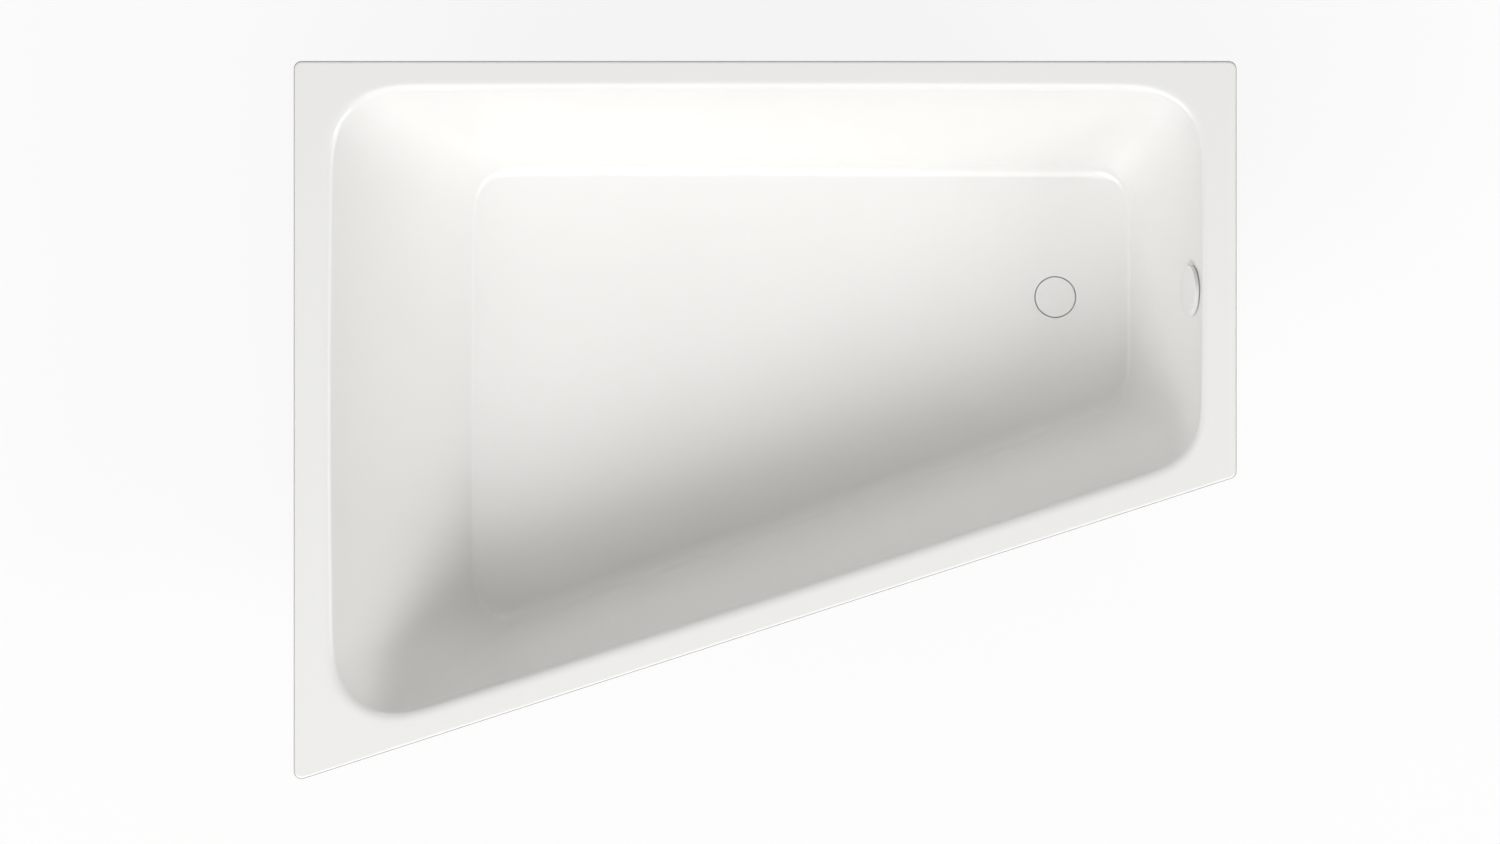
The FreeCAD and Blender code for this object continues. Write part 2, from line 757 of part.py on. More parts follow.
def make_plug():
    """Plastic plug under the cap, with a groove for its seal and a guide stem."""
    high = FLOOR_LEVEL - CAP_SHEET
    seal_low = between(PLUG_LOW, SEAT_LOW + SEAT_FLANGE, 0.5) - SEAL_HEIGHT / 2
    seal_high = seal_low + SEAL_HEIGHT
    profile = [
        (0, STEM_LOW), (PLUG_STEM, STEM_LOW), (PLUG_STEM, PLUG_LOW), (PLUG_RADIUS, PLUG_LOW),
        (PLUG_RADIUS, seal_low), (PLUG_NECK, seal_low), (PLUG_NECK, seal_high),
        (PLUG_RADIUS, seal_high), (PLUG_RADIUS, high), (0, high),
    ]
    seal = ring(PLUG_NECK, SEAT_BORE - SEAL_FIT, seal_low, seal_high, DRAIN)
    return turned(profile, DRAIN), seal


def make_drain_seat():
    """Chromed valve seat with a sleeve and a spider that guides the plug's stem."""
    high = SEAT_LOW + SEAT_FLANGE
    flange = ring(SEAT_BORE, SEAT_RADIUS, SEAT_LOW, high, DRAIN)
    sleeve = ring(SEAT_BORE, SEAT_BORE + SEAT_WALL, SLEEVE_LOW, high, DRAIN)
    arms = spider(
        SPIDER_HUB, PLUG_STEM + RUNNING_FIT, SEAT_BORE + SEAT_WALL / 2, SPIDER_ARM,
        SLEEVE_LOW, SLEEVE_LOW + SPIDER_HEIGHT, DRAIN,
    )
    body = joined([flange, sleeve, arms])
    holes = [disc(SCREW_RADIUS, SLEEVE_LOW, high, place) for place in seat_screw_places()]
    return drilled(body, holes)


def slotted_screws(places, top):
    """Cheese-head screws whose heads stand on one level."""
    screws = []
    for place in places:
        shank = disc(SCREW_RADIUS, top - SCREW_LENGTH, top, place)
        head = disc(SCREW_HEAD, top, top + SCREW_HEAD_HEIGHT, place)
        corner = place - ALONG * SCREW_HEAD - ACROSS * (SCREW_RADIUS / 4)
        corner = corner + UP * (top + SCREW_HEAD_HEIGHT / 2)
        slot = Part.makeBox(2 * SCREW_HEAD, SCREW_RADIUS / 2, SCREW_HEAD_HEIGHT, corner)
        screws.append(shank.fuse(head).removeSplitter().cut(slot))
    return screws


def seat_screw_places():
    return around(SEAT_SCREWS, SCREW_CIRCLE, DRAIN)


def make_lift_pin():
    """Pin that the cable pushes up against the plug's stem."""
    high = STEM_LOW - SEAT_CLEARANCE
    pin = disc(PLUG_STEM, high - PIN_LENGTH, high, DRAIN)
    return pin.makeFillet(PLUG_STEM / 5, top_edges(pin, high - PIN_LENGTH))


# Waste body

def heading(degrees):
    turn = math.radians(degrees)
    return Vector(math.cos(turn), math.sin(turn), 0)


PORT_CENTRE = DRAIN + UP * (CUP_TOP - PORT_DROP)
CABLE_HEADING = heading(CABLE_TURN)
CABLE_PORT_END = PORT_CENTRE + CABLE_HEADING * CABLE_REACH
DIP_LOW = TRAP_BOTTOM + PLASTIC_WALL + DIP_GAP


def make_waste_body():
    """Plastic cup clamped under the drain, with a dip tube and two side ports."""
    inner = CUP_RADIUS - PLASTIC_WALL
    flange = ring(inner, WASTE_FLANGE_RADIUS, CUP_TOP - WASTE_FLANGE, CUP_TOP, DRAIN)
    cup = disc(CUP_RADIUS, CUP_LOW, CUP_TOP, DRAIN)
    dip = disc(DIP_RADIUS, DIP_LOW, CUP_LOW + PLASTIC_WALL, DRAIN)
    port = rod(PORT_CENTRE, PORT_CENTRE + ALONG * PORT_REACH, PIPE_RADIUS)
    cable_port = rod(PORT_CENTRE, CABLE_PORT_END, CABLE_PORT)
    body = joined([flange, cup, dip, port, cable_port])
    hollow = disc(inner, CUP_LOW + PLASTIC_WALL, CUP_TOP, DRAIN)
    bore = disc(DIP_RADIUS - DIP_WALL, DIP_LOW, CUP_TOP, DRAIN)
    port_bore = rod(PORT_CENTRE, PORT_CENTRE + ALONG * PORT_REACH, PIPE_RADIUS - PIPE_WALL)
    cable_bore = rod(PORT_CENTRE, CABLE_PORT_END, CABLE_RADIUS)
    body = drilled(body, [hollow, bore, port_bore, cable_bore])
    boss_low = SEAT_LOW + SEAT_FLANGE - SCREW_LENGTH
    bosses = [
        ring(SCREW_RADIUS, SCREW_BOSS, boss_low, CUP_TOP, place) for place in seat_screw_places()
    ]
    guide_low = STEM_LOW - SEAT_CLEARANCE - PIN_LENGTH + PLUG_STEM
    guide = spider(
        GUIDE_RADIUS, PLUG_STEM + RUNNING_FIT, CUP_RADIUS - PLASTIC_WALL / 2, GUIDE_ARM,
        guide_low, guide_low + GUIDE_HEIGHT, DRAIN,
    )
    guide = guide.cut(port_bore)
    return joined([body, guide] + bosses)


# Trap and outlet

OUTLET_LEVEL = TRAP_TOP - OUTLET_RADIUS - PLASTIC_WALL
OUTLET_START = DRAIN + UP * OUTLET_LEVEL
SPIGOT_END = OUTLET_START + ACROSS * OUTLET_REACH


def make_trap_body():
    """Cup of the trap with its neck, collar and side outlet."""
    neck_bore = DIP_RADIUS + THREAD_CLEARANCE
    neck_top = CUP_LOW - TRAP_SEAL
    cup = disc(TRAP_RADIUS, TRAP_BOTTOM, TRAP_TOP, DRAIN)
    cup = cup.makeFillet(PLASTIC_WALL * 2, top_edges(cup, TRAP_BOTTOM) + top_edges(cup, TRAP_TOP))
    neck = disc(NECK_RADIUS, TRAP_TOP - PLASTIC_WALL, neck_top, DRAIN)
    collar = disc(COLLAR_RADIUS, neck_top - COLLAR_HEIGHT, neck_top, DRAIN)
    spigot = rod(OUTLET_START, SPIGOT_END, OUTLET_RADIUS)
    body = joined([cup, neck, collar, spigot])
    room = disc(TRAP_RADIUS - PLASTIC_WALL, TRAP_BOTTOM + PLASTIC_WALL, TRAP_TOP - PLASTIC_WALL, DRAIN)
    room = room.makeFillet(PLASTIC_WALL, top_edges(room, TRAP_BOTTOM + PLASTIC_WALL))
    bore = disc(neck_bore, OUTLET_LEVEL, neck_top, DRAIN)
    outlet = rod(OUTLET_START, SPIGOT_END, OUTLET_RADIUS - OUTLET_WALL)
    return drilled(body, [room, bore, outlet])


def make_trap_seal():
    bore = DIP_RADIUS + THREAD_CLEARANCE
    return ring(bore, COLLAR_RADIUS - THREAD_CLEARANCE, CUP_LOW - TRAP_SEAL, CUP_LOW, DRAIN)


def grip_notches(radius, low, high, centre, count=12):
    """Upright grooves round a union nut."""
    return [disc(radius / 12, low, high, place) for place in around(count, radius, centre)]


def make_trap_nut():
    """Union nut that draws the trap's collar up against the waste body."""
    lip_high = CUP_LOW - TRAP_SEAL - COLLAR_HEIGHT - SEAT_CLEARANCE
    low = lip_high - NUT_LIP
    high = CUP_LOW + NUT_COVER
    lip_bore = NECK_RADIUS + THREAD_CLEARANCE
    bore = CUP_RADIUS + THREAD_CLEARANCE
    profile = [
        (lip_bore, low), (NUT_RADIUS, low), (NUT_RADIUS, high),
        (bore, high), (bore, lip_high), (lip_bore, lip_high),
    ]
    return drilled(turned(profile, DRAIN), grip_notches(NUT_RADIUS, low, high, DRAIN))


def sleeve_nut(joint, direction, radius):
    """Grooved coupling sleeve round a butt joint of two tubes."""
    start = joint - direction * (SLEEVE_LENGTH / 2)
    end = joint + direction * (SLEEVE_LENGTH / 2)
    outer = radius + SLEEVE_THICK
    blank = disc(outer, 0, SLEEVE_LENGTH)
    blank = drilled(blank, grip_notches(outer, 0, SLEEVE_LENGTH, Vector()))
    blank.Placement = FreeCAD.Placement(start, FreeCAD.Rotation(UP, direction))
    return blank.cut(rod(start, end, radius + SEAL_FIT))


def joint_seal(joint, direction, radius, wall):
    """Sealing ring between the ends of two tubes, just past the joint."""
    end = joint + direction * PIPE_SEAL
    return rod(joint, end, radius).cut(rod(joint, end, radius - wall))


def make_outlet_pipe():
    """Outlet that runs to the back and turns towards the head end."""
    start = SPIGOT_END + ACROSS * PIPE_SEAL
    corner = SPIGOT_END + ACROSS * (OUTLET_RUN - OUTLET_REACH)
    end = corner - ALONG * OUTLET_TURN_RUN
    return bent_tube([start, corner, end], OUTLET_BEND, OUTLET_RADIUS, OUTLET_RADIUS - OUTLET_WALL)


# Overflow on the foot wall, in its own frame

GASKET_BACK = -SHEET - OVERFLOW_GASKET
FLANGE_BACK = GASKET_BACK - OVERFLOW_FLANGE
OVERFLOW_BACK = GASKET_BACK - OVERFLOW_DEPTH
SPIGOT_LEVEL = OVERFLOW_BACK + PIPE_RADIUS + PLASTIC_WALL / 2
BRACKET_TOP = BRACKET_SEAL + BRACKET_THICK
CRANK_LOW = -SHAFT_REACH + CRANK_THICK / 2


def overflow_screw_places():
    """Screws on both sides of the shaft, at one level."""
    return [ACROSS * SCREW_CIRCLE, -ACROSS * SCREW_CIRCLE]


def make_overflow_knob():
    """Round cover that is turned to lift the plug; water runs in behind its edge."""
    face = disc(KNOB_RADIUS, KNOB_GAP, KNOB_GAP + KNOB_THICK)
    face = face.makeFillet(KNOB_EDGE, top_edges(face, KNOB_GAP + KNOB_THICK))
    hub = disc(KNOB_HUB, BRACKET_TOP + HUB_GAP, KNOB_GAP + KNOB_THICK / 2)
    bore = disc(SPINDLE_SHAFT, 0, KNOB_GAP + KNOB_THICK / 2)
    return joined([face, hub]).cut(bore)


def make_knob_shaft():
    return disc(SPINDLE_SHAFT, -SHAFT_REACH, KNOB_GAP + KNOB_THICK / 2)


def make_cable_crank():
    """Arm on the shaft's inner end that pulls the cable."""
    high = CRANK_LOW + CRANK_THICK
    hub = disc(2 * SPINDLE_SHAFT, CRANK_LOW, high)
    arm = Part.makeBox(CRANK_ARM, 2 * SPINDLE_SHAFT, CRANK_THICK, Vector(0, -SPINDLE_SHAFT, CRANK_LOW))
    tip = disc(SPINDLE_SHAFT, CRANK_LOW, high, ALONG * CRANK_ARM)
    pin = disc(CRANK_PIN, CRANK_LOW, high + CRANK_THICK, ALONG * CRANK_ARM)
    return joined([hub, arm, tip, pin]).cut(disc(SPINDLE_SHAFT, CRANK_LOW, high))


def make_overflow_bracket():
    """Ring on the enamel with a bearing for the shaft, open for the water between its arms."""
    rim = ring(BRACKET_BORE, BRACKET_RADIUS, BRACKET_SEAL, BRACKET_TOP)
    arms = spider(
        BRACKET_HUB, SPINDLE_SHAFT + RUNNING_FIT, BRACKET_BORE + BRACKET_THICK, BRACKET_ARM,
        BRACKET_SEAL, BRACKET_TOP, Vector(),
    )
    bearing = ring(SPINDLE_SHAFT + RUNNING_FIT, BRACKET_HUB, -BRACKET_HUB, BRACKET_SEAL)
    body = joined([rim, arms, bearing])
    return drilled(body, [disc(SCREW_RADIUS, 0, BRACKET_TOP, place) for place in overflow_screw_places()])


def splay_heading():
    """Direction of the cable's port, beside the spigot of the pipe."""
    return heading(180 - CABLE_SPLAY)


def local_cable_port():
    """Start and end of the cable's port."""
    start = UP * SPIGOT_LEVEL
    return start, start + splay_heading() * CABLE_REACH


def make_overflow_body():
    """Cup behind the wall that gathers the overflow and leads it down into the pipe."""
    inner = OVERFLOW_CUP - PLASTIC_WALL
    flange = disc(OVERFLOW_FLANGE_RADIUS, FLANGE_BACK, GASKET_BACK)
    cup = disc(OVERFLOW_CUP, OVERFLOW_BACK, GASKET_BACK)
    cup = cup.makeFillet(PLASTIC_WALL, top_edges(cup, OVERFLOW_BACK))
    spigot_start = UP * SPIGOT_LEVEL
    spigot_end = spigot_start - ALONG * SPIGOT_REACH
    port_start, port_end = local_cable_port()
    spigot = rod(spigot_start, spigot_end, PIPE_RADIUS)
    port = rod(port_start, port_end, CABLE_PORT)
    body = joined([flange, cup, spigot, port])
    hollow = disc(inner, OVERFLOW_BACK + PLASTIC_WALL, GASKET_BACK)
    spigot_bore = rod(spigot_start, spigot_end, PIPE_RADIUS - PIPE_WALL)
    port_bore = rod(port_start, port_end, CABLE_RADIUS)
    body = drilled(body, [hollow, spigot_bore, port_bore])
    low = BRACKET_TOP - SCREW_LENGTH
    places = overflow_screw_places()
    bosses = [ring(SCREW_RADIUS, SCREW_BOSS, low, GASKET_BACK, place) for place in places]
    return joined([body] + bosses)


def on_wall_point(local):
    """Place in the room of a point in the overflow's frame."""
    return OVERFLOW.multVec(local)


WALL_DOWN = OVERFLOW.Rotation.multVec(-ALONG)
SPIGOT_TIP = on_wall_point(UP * SPIGOT_LEVEL - ALONG * SPIGOT_REACH)
PORT_TIP = PORT_CENTRE + ALONG * PORT_REACH


def down_to_port(start):
    """Point straight down the wall from start, at the level of the waste body's ports."""
    return start + WALL_DOWN * ((PORT_CENTRE.z - start.z) / WALL_DOWN.z)


def pipe_route():
    """Down behind the foot wall, then level along the waste body's port."""
    start = SPIGOT_TIP + WALL_DOWN * PIPE_SEAL
    below = down_to_port(start)
    corner = Vector(below.x, below.y, PORT_CENTRE.z)
    end = PORT_TIP + ALONG * PIPE_SEAL
    return [start, corner, end + ALONG * PIPE_LEAD, end]


def make_overflow_pipe():
    return bent_tube(pipe_route(), PIPE_BEND, PIPE_RADIUS, PIPE_RADIUS - PIPE_WALL)


def cable_route():
    """From the overflow's port down the wall and under the floor to the waste body's port."""
    start = on_wall_point(local_cable_port()[1])
    aside = start + OVERFLOW.Rotation.multVec(splay_heading()) * CABLE_LEAD
    lead = CABLE_PORT_END + CABLE_HEADING * CABLE_LEAD
    return [start, aside, down_to_port(aside), lead, CABLE_PORT_END]


def make_cable_sheath():
    return swept(bent_path(cable_route(), CABLE_BEND), CABLE_RADIUS)


def wall_gasket(radius, low, high):
    """Gasket round the overflow's hole, pressed to the slightly bowed sheet."""
    return on_foot_wall(ring(OVERFLOW_HOLE, radius, low, high)).cut(tub_shell)


def make_cable_ferrules():
    """Collars where the cable enters each port."""
    start, end = on_wall_point(local_cable_port()[1]), CABLE_PORT_END
    collars = []
    splay = OVERFLOW.Rotation.multVec(splay_heading())
    for tip, direction in ((start, splay), (end, CABLE_HEADING)):
        far = tip + direction * FERRULE_LENGTH
        collars.append(rod(tip, far, FERRULE_RADIUS).cut(rod(tip, far, CABLE_RADIUS)))
    return collars


# Nodes

tub_shell = make_tub_shell()
save("tub_shell", tub_shell)
for name, mat in make_mats().items():
    save(name, mat)
save("earth_lug", make_earth_lug())

for end_name, rail_x in (("head", HEAD_RAIL_X), ("foot", FOOT_RAIL_X)):
    save(end_name + "_rail", make_rail(rail_x))
    save_group(end_name + "_rail_saddles", make_saddles(rail_x))
    for side_name, spot in zip(("front", "back"), foot_places(rail_x)):
        foot_name = "_" + end_name + "_" + side_name
        save("foot_pad" + foot_name, make_foot_pad(spot))
        save("foot_plate" + foot_name, make_foot_plate(spot))
        save("foot_spindle" + foot_name, make_spindle(spot))
save_group("rail_nuts", make_rail_nuts())
save_group("lock_nuts", make_lock_nuts())

plug_body, plug_seal = make_plug()
save("drain_cover", make_drain_cover())
save("plug_body", plug_body)
save("plug_seal", plug_seal)
save("drain_seat", make_drain_seat())
save("seat_gasket", ring(DRAIN_HOLE, SEAT_RADIUS, RECESS_LEVEL, SEAT_LOW, DRAIN))
save_group("seat_screws", slotted_screws(seat_screw_places(), SEAT_LOW + SEAT_FLANGE))
save("lift_pin", make_lift_pin())
save("waste_gasket", ring(DRAIN_HOLE, WASTE_FLANGE_RADIUS, CUP_TOP, RECESS_LEVEL - SHEET, DRAIN))
save("waste_body", make_waste_body())
save("trap_body", make_trap_body())
save("trap_seal", make_trap_seal())
save("trap_nut", make_trap_nut())
save("outlet_pipe", make_outlet_pipe())
save("outlet_nut", sleeve_nut(SPIGOT_END, ACROSS, OUTLET_RADIUS))
save("outlet_seal", joint_seal(SPIGOT_END, ACROSS, OUTLET_RADIUS, OUTLET_WALL))

save("overflow_knob", on_foot_wall(make_overflow_knob()))
save("knob_shaft", on_foot_wall(make_knob_shaft()))
save("cable_crank", on_foot_wall(make_cable_crank()))
save("overflow_bracket", on_foot_wall(make_overflow_bracket()))
save("bracket_seal", wall_gasket(BRACKET_RADIUS, 0, BRACKET_SEAL))
overflow_screws = slotted_screws(overflow_screw_places(), BRACKET_TOP)
save_group("overflow_screws", [on_foot_wall(screw) for screw in overflow_screws])
save("overflow_gasket", wall_gasket(OVERFLOW_FLANGE_RADIUS, GASKET_BACK, -SHEET))
save("overflow_body", on_foot_wall(make_overflow_body()))
save("overflow_pipe", make_overflow_pipe())
save("upper_pipe_nut", sleeve_nut(SPIGOT_TIP, WALL_DOWN, PIPE_RADIUS))
save("lower_pipe_nut", sleeve_nut(PORT_TIP, ALONG, PIPE_RADIUS))
save("upper_pipe_seal", joint_seal(SPIGOT_TIP, WALL_DOWN, PIPE_RADIUS, PIPE_WALL))
save("lower_pipe_seal", joint_seal(PORT_TIP, ALONG, PIPE_RADIUS, PIPE_WALL))
save("cable_sheath", make_cable_sheath())
save_group("cable_ferrules", make_cable_ferrules())
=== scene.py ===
import json
import math
from collections import namedtuple

import bpy
import numpy as np
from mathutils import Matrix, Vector


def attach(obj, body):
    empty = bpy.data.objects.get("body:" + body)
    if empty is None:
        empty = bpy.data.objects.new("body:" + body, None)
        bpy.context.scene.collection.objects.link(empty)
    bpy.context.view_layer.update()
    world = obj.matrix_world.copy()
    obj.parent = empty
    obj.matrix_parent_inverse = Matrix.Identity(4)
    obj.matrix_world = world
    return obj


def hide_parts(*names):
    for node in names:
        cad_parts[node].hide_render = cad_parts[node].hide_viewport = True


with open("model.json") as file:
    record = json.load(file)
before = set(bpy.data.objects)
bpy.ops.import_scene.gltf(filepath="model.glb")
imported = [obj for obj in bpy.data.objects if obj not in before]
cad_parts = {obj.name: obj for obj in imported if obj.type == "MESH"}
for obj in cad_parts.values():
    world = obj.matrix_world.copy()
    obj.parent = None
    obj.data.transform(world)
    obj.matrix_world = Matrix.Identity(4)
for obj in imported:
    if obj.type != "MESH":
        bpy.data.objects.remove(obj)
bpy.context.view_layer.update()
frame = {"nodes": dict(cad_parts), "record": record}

# Sizes of the tub in millimetres; the scene itself is in metres.
MM = 0.001
LENGTH = 1700.0
HEAD_WIDTH = 1300.0
FOOT_WIDTH = 750.0
RIM_HEIGHT = 600.0
SHEET = 3.0
RIM_CORNER = 14.0
RIM_BEND = 5.0
FLANGE_HEIGHT = 32.0
DEPTH = 420.0
FLOOR_LEVEL = RIM_HEIGHT - DEPTH
# The drain's recess, with its rounded upper edge and foot; the floor falls towards it.
RECESS_DEPTH = 10.0
RECESS_RADIUS = 37.7
RECESS_EDGE = 1.2
RECESS_FOOT = 0.6
RECESS_LEVEL = FLOOR_LEVEL - RECESS_DEPTH
DRAIN_HOLE = 26.0
FALL = math.radians(1.0)
# Radii of the opening's corners (front left, front right, back right, back left) and of the
# basin's corners at the floor.
OPENING_CORNERS = (108.0, 97.0, 109.0, 120.0)
BASE_CORNER = 70.0
OVERFLOW_DROP = 62.0
OVERFLOW_HOLE = 26.0
CAP_RADIUS = 36.0
CAP_SHEET = 3.5
KNOB_RADIUS = 46.0
KNOB_THICK = 3.5
KNOB_GAP = 5.5
KNOB_EDGE = 1.0
KNOB_HUB = 9.0
KNOB_SHAFT = 4.0
HUB_START = 4.0
# The knob's skirt: its width, where it starts above the wall, the hollow that it leaves inside,
# and how far up its light grey painted shade goes past the gap.
SKIRT = 2.4
SKIRT_START = 1.4
SKIRT_HOLLOW = 1.2
SHADE_PAST_GAP = 0.8
# The cap's lower and upper edges.
CAP_LOW_EDGE = 0.4
CAP_TOP_EDGE = 0.9
# The M10 threads of the feet's spindles, and the steps of one turn.
PITCH = 1.5
TURN_STEPS = 20
# Corners of the ridge's section: radius, and height in pitches.
RIDGE = ((4.9, -0.38), (5.3, -0.06), (5.3, 0.06), (4.9, 0.38))
THREAD_LOW = 32.5
THREAD_HIGH = 155.4
# Bevel of the folded rails and their saddles.
FOLD_EDGE = 0.7
# Edges of turned pieces and threads are sharp from this angle on.
SHARP_ANGLE = math.radians(32)
# The front edge is slanted, and its rounded corner at the head end falls short of the tip.
FRONT_SLOPE = math.atan2(HEAD_WIDTH - FOOT_WIDTH, LENGTH)
CUT_TIP = RIM_CORNER * (math.tan(FRONT_SLOPE) + 1 / math.cos(FRONT_SLOPE) - 1)
BACK_EDGE = (HEAD_WIDTH - CUT_TIP) / 2
# The drain and the overflow, by their distances from the foot end and the back edge.
DRAIN = np.array([LENGTH / 2 - 323.0, BACK_EDGE - 424.0])
OVERFLOW_Y = BACK_EDGE - 414.0

# Ledge at the rim, bow, inset of the wall's foot at its two ends, radius of the bend between
# wall and floor, length of the roll from the rim into the wall, and how far the wall's upper end
# stands in from the ledge's line on the basin's side.
Side = namedtuple("Side", "ledge bow insets bend roll stand_in")
# Front, foot, back and head.
SIDES = [
    Side(52.0, 4.5, (143.0, 194.5), 38.0, 29.0, 4.5),
    Side(63.0, 3.0, (190.5, 190.5), 9.0, 18.0, 0.0),
    Side(48.0, 2.5, (186.5, 190.5), 34.0, 24.0, 4.5),
    Side(68.0, 7.0, (336.0, 336.0), 9.0, 32.0, 1.0),
]
# The roll turns slowly at the rim and faster towards the wall. It is summed up in ROLL_FINE
# steps for each of its rows.
ROLL_EASE = 1.7
ROLL_ROWS = 22
ROLL_FINE = 10
# The rim's outer edge: its rows, and the part of its turn that gets painted shade, a dark grey band.
EDGE_ROWS = 8
EDGE_SHADE_FROM, EDGE_SHADE_TO = 0.1, 0.6
# Length over which the basin's outline eases, as a share of the corners' mean radius.
CORNER_EASE = 0.28
# Columns of each corner and of each side, and rows.
CORNER_STEPS = 40
SIDE_STEPS = (76, 48, 76, 52)
WALL_ROWS = 34
BEND_ROWS = 18
FLOOR_ROWS = 18
RECESS_EDGE_ROWS = 5
RECESS_FOOT_ROWS = 3
# Places of the ledge's rows between the rim's edge (0) and the start of the roll (1).
LEDGE_SHARES = (0.08, 0.25, 0.5, 0.75, 0.92)
# Half the width and half the height of the block that is left open round the overflow's hole.
# Its columns are picked in one row of the wall.
BLOCK_REACH = (44.0, 37.0)
BLOCK_PICK_ROW = 4
BLOCK_RINGS = 6


# Outlines of the basin and the rim

def unit(v):
    return v / np.linalg.norm(v, axis=-1, keepdims=True)


def crossing(a, b, c, d):
    """Point where the line from a to b meets the line from c to d."""
    run, other, gap = b - a, d - c, c - a
    reach = (gap[0] * other[1] - gap[1] * other[0]) / (run[0] * other[1] - run[1] * other[0])
    return a + run * reach


def inset_corners(insets):
    """Corners of the rim's plan after each side moves in by its two insets, one at either end."""
    half = LENGTH / 2
    head_front, foot_front = BACK_EDGE - HEAD_WIDTH, BACK_EDGE - FOOT_WIDTH
    rim = np.array([
        (-half, head_front), (half, foot_front), (half, BACK_EDGE), (-half, BACK_EDGE)])
    lines = []
    for k, (first, last) in enumerate(insets):
        start, end = rim[k], rim[(k + 1) % 4]
        along = unit(end - start)
        inward = np.array([-along[1], along[0]])
        lines.append((start + inward * first, end + inward * last))
    return [crossing(*lines[k - 1], *lines[k]) for k in range(4)]


def sampled(rounds, sides):
    """Points and outward normals of four corner arcs and the four sides that follow them."""
    points, normals = [], []
    for k in range(4):
        for piece, steps in ((rounds[k], CORNER_STEPS), (sides[k], SIDE_STEPS[k])):
            centre, radius, first, last = piece
            share = np.arange(steps) / steps
            if radius is None:
                points.append(first + (last - first) * share[:, None])
                away = unit(np.array([(last - first)[1], -(last - first)[0]]))
                normals.append(np.tile(away, (steps, 1)))
                continue
            begin = math.atan2(*(first - centre)[::-1])
            turn = (math.atan2(*(last - centre)[::-1]) - begin) % (2 * math.pi)
            angle = begin + turn * share
            away = np.stack([np.cos(angle), np.sin(angle)], 1)
            points.append(centre + radius * away)
            normals.append(away)
    return np.concatenate(points), np.concatenate(normals)


def eased(points, normals, reach):
    """Outline whose curvature changes gradually, over about the length of reach."""
    step = np.linalg.norm(np.roll(points, -1, 0) - points, axis=1)
    place = np.cumsum(step) - step
    apart = np.abs(place[:, None] - place)
    apart = np.minimum(apart, step.sum() - apart)
    weight = np.exp(-(apart / reach) ** 2 / 2) * (step + np.roll(step, 1))
    weight /= weight.sum(1, keepdims=True)
    return weight @ points, unit(weight @ normals)


def basin_outline(height):
    """Bowed sides joined by corner arcs, at a height."""
    share = (RIM_HEIGHT - height) / DEPTH
    insets = [[s.ledge + (base - s.ledge) * share for base in s.insets] for s in SIDES]
    corners = inset_corners(insets)
    top = inset_corners([(side.ledge, side.ledge) for side in SIDES])
    circles = []
    for k in range(4):
        start, end = corners[k], corners[(k + 1) % 4]
        chord = end - start
        length = np.linalg.norm(chord)
        bow = SIDES[k].bow * length / np.linalg.norm(top[(k + 1) % 4] - top[k])
        radius = (length ** 2 / 4 + bow ** 2) / (2 * bow)
        inward = unit(np.array([-chord[1], chord[0]]))
        circles.append(((start + end) / 2 + inward * (radius - bow), radius))
    radii = [top_radius + (BASE_CORNER - top_radius) * share for top_radius in OPENING_CORNERS]
    rounds = []
    for k, radius in enumerate(radii):
        (ca, ra), (cb, rb) = circles[k - 1], circles[k]
        reach_a, reach_b = ra - radius, rb - radius
        gap = np.linalg.norm(cb - ca)
        along = unit(cb - ca)
        forward = (reach_a ** 2 - reach_b ** 2 + gap ** 2) / (2 * gap)
        side = np.array([-along[1], along[0]]) * math.sqrt(reach_a ** 2 - forward ** 2)
        base = ca + along * forward
        centre = min((base + side, base - side), key=lambda p: np.linalg.norm(p - corners[k]))
        rounds.append((centre, radius, ca + unit(centre - ca) * ra, cb + unit(centre - cb) * rb))
    sides = [(circles[k][0], circles[k][1], rounds[k][3], rounds[(k + 1) % 4][2]) for k in range(4)]
    return eased(*sampled(rounds, sides), np.mean(radii) * CORNER_EASE)


def rim_outline(inset, corner):
    """The rim's straight-sided outline, moved in by inset, with rounded corners."""
    corners = inset_corners([(inset, inset)] * 4)
    rounds = []
    for k in range(4):
        before = unit(corners[k - 1] - corners[k])
        after = unit(corners[(k + 1) % 4] - corners[k])
        half = math.acos(float(before @ after)) / 2
        centre = corners[k] + unit(before + after) * corner / math.sin(half)
        back = corner / math.tan(half)
        rounds.append((centre, corner, corners[k] + before * back, corners[k] + after * back))
    sides = [(None, None, rounds[k][3], rounds[(k + 1) % 4][2]) for k in range(4)]
    return sampled(rounds, sides)


# Tub shell: rows of points round the basin, from the flange over the rim and down to the drain,
# then back along the underside

def at_height(flat, height):
    """Points or directions in the plan with a height added."""
    return np.concatenate([flat, np.broadcast_to(height, (len(flat),))[:, None]], 1)


def turn_between(first, last, steps):
    """Unit normals from first to last in equal turns, ends included."""
    angle = np.arccos(np.clip((first * last).sum(1), -1, 1))[:, None]
    return [
        (np.sin((1 - t) * angle) * first + np.sin(t * angle) * last) / np.sin(angle)
        for t in np.linspace(0, 1, steps + 1)
    ]


def floor_height(flat):
    return FLOOR_LEVEL + (np.linalg.norm(flat - DRAIN, axis=1) - RECESS_RADIUS) * math.tan(FALL)


def floor_normal(flat):
    away = unit(flat - DRAIN)
    return unit(np.concatenate([-math.tan(FALL) * away, np.ones((len(flat), 1))], 1))


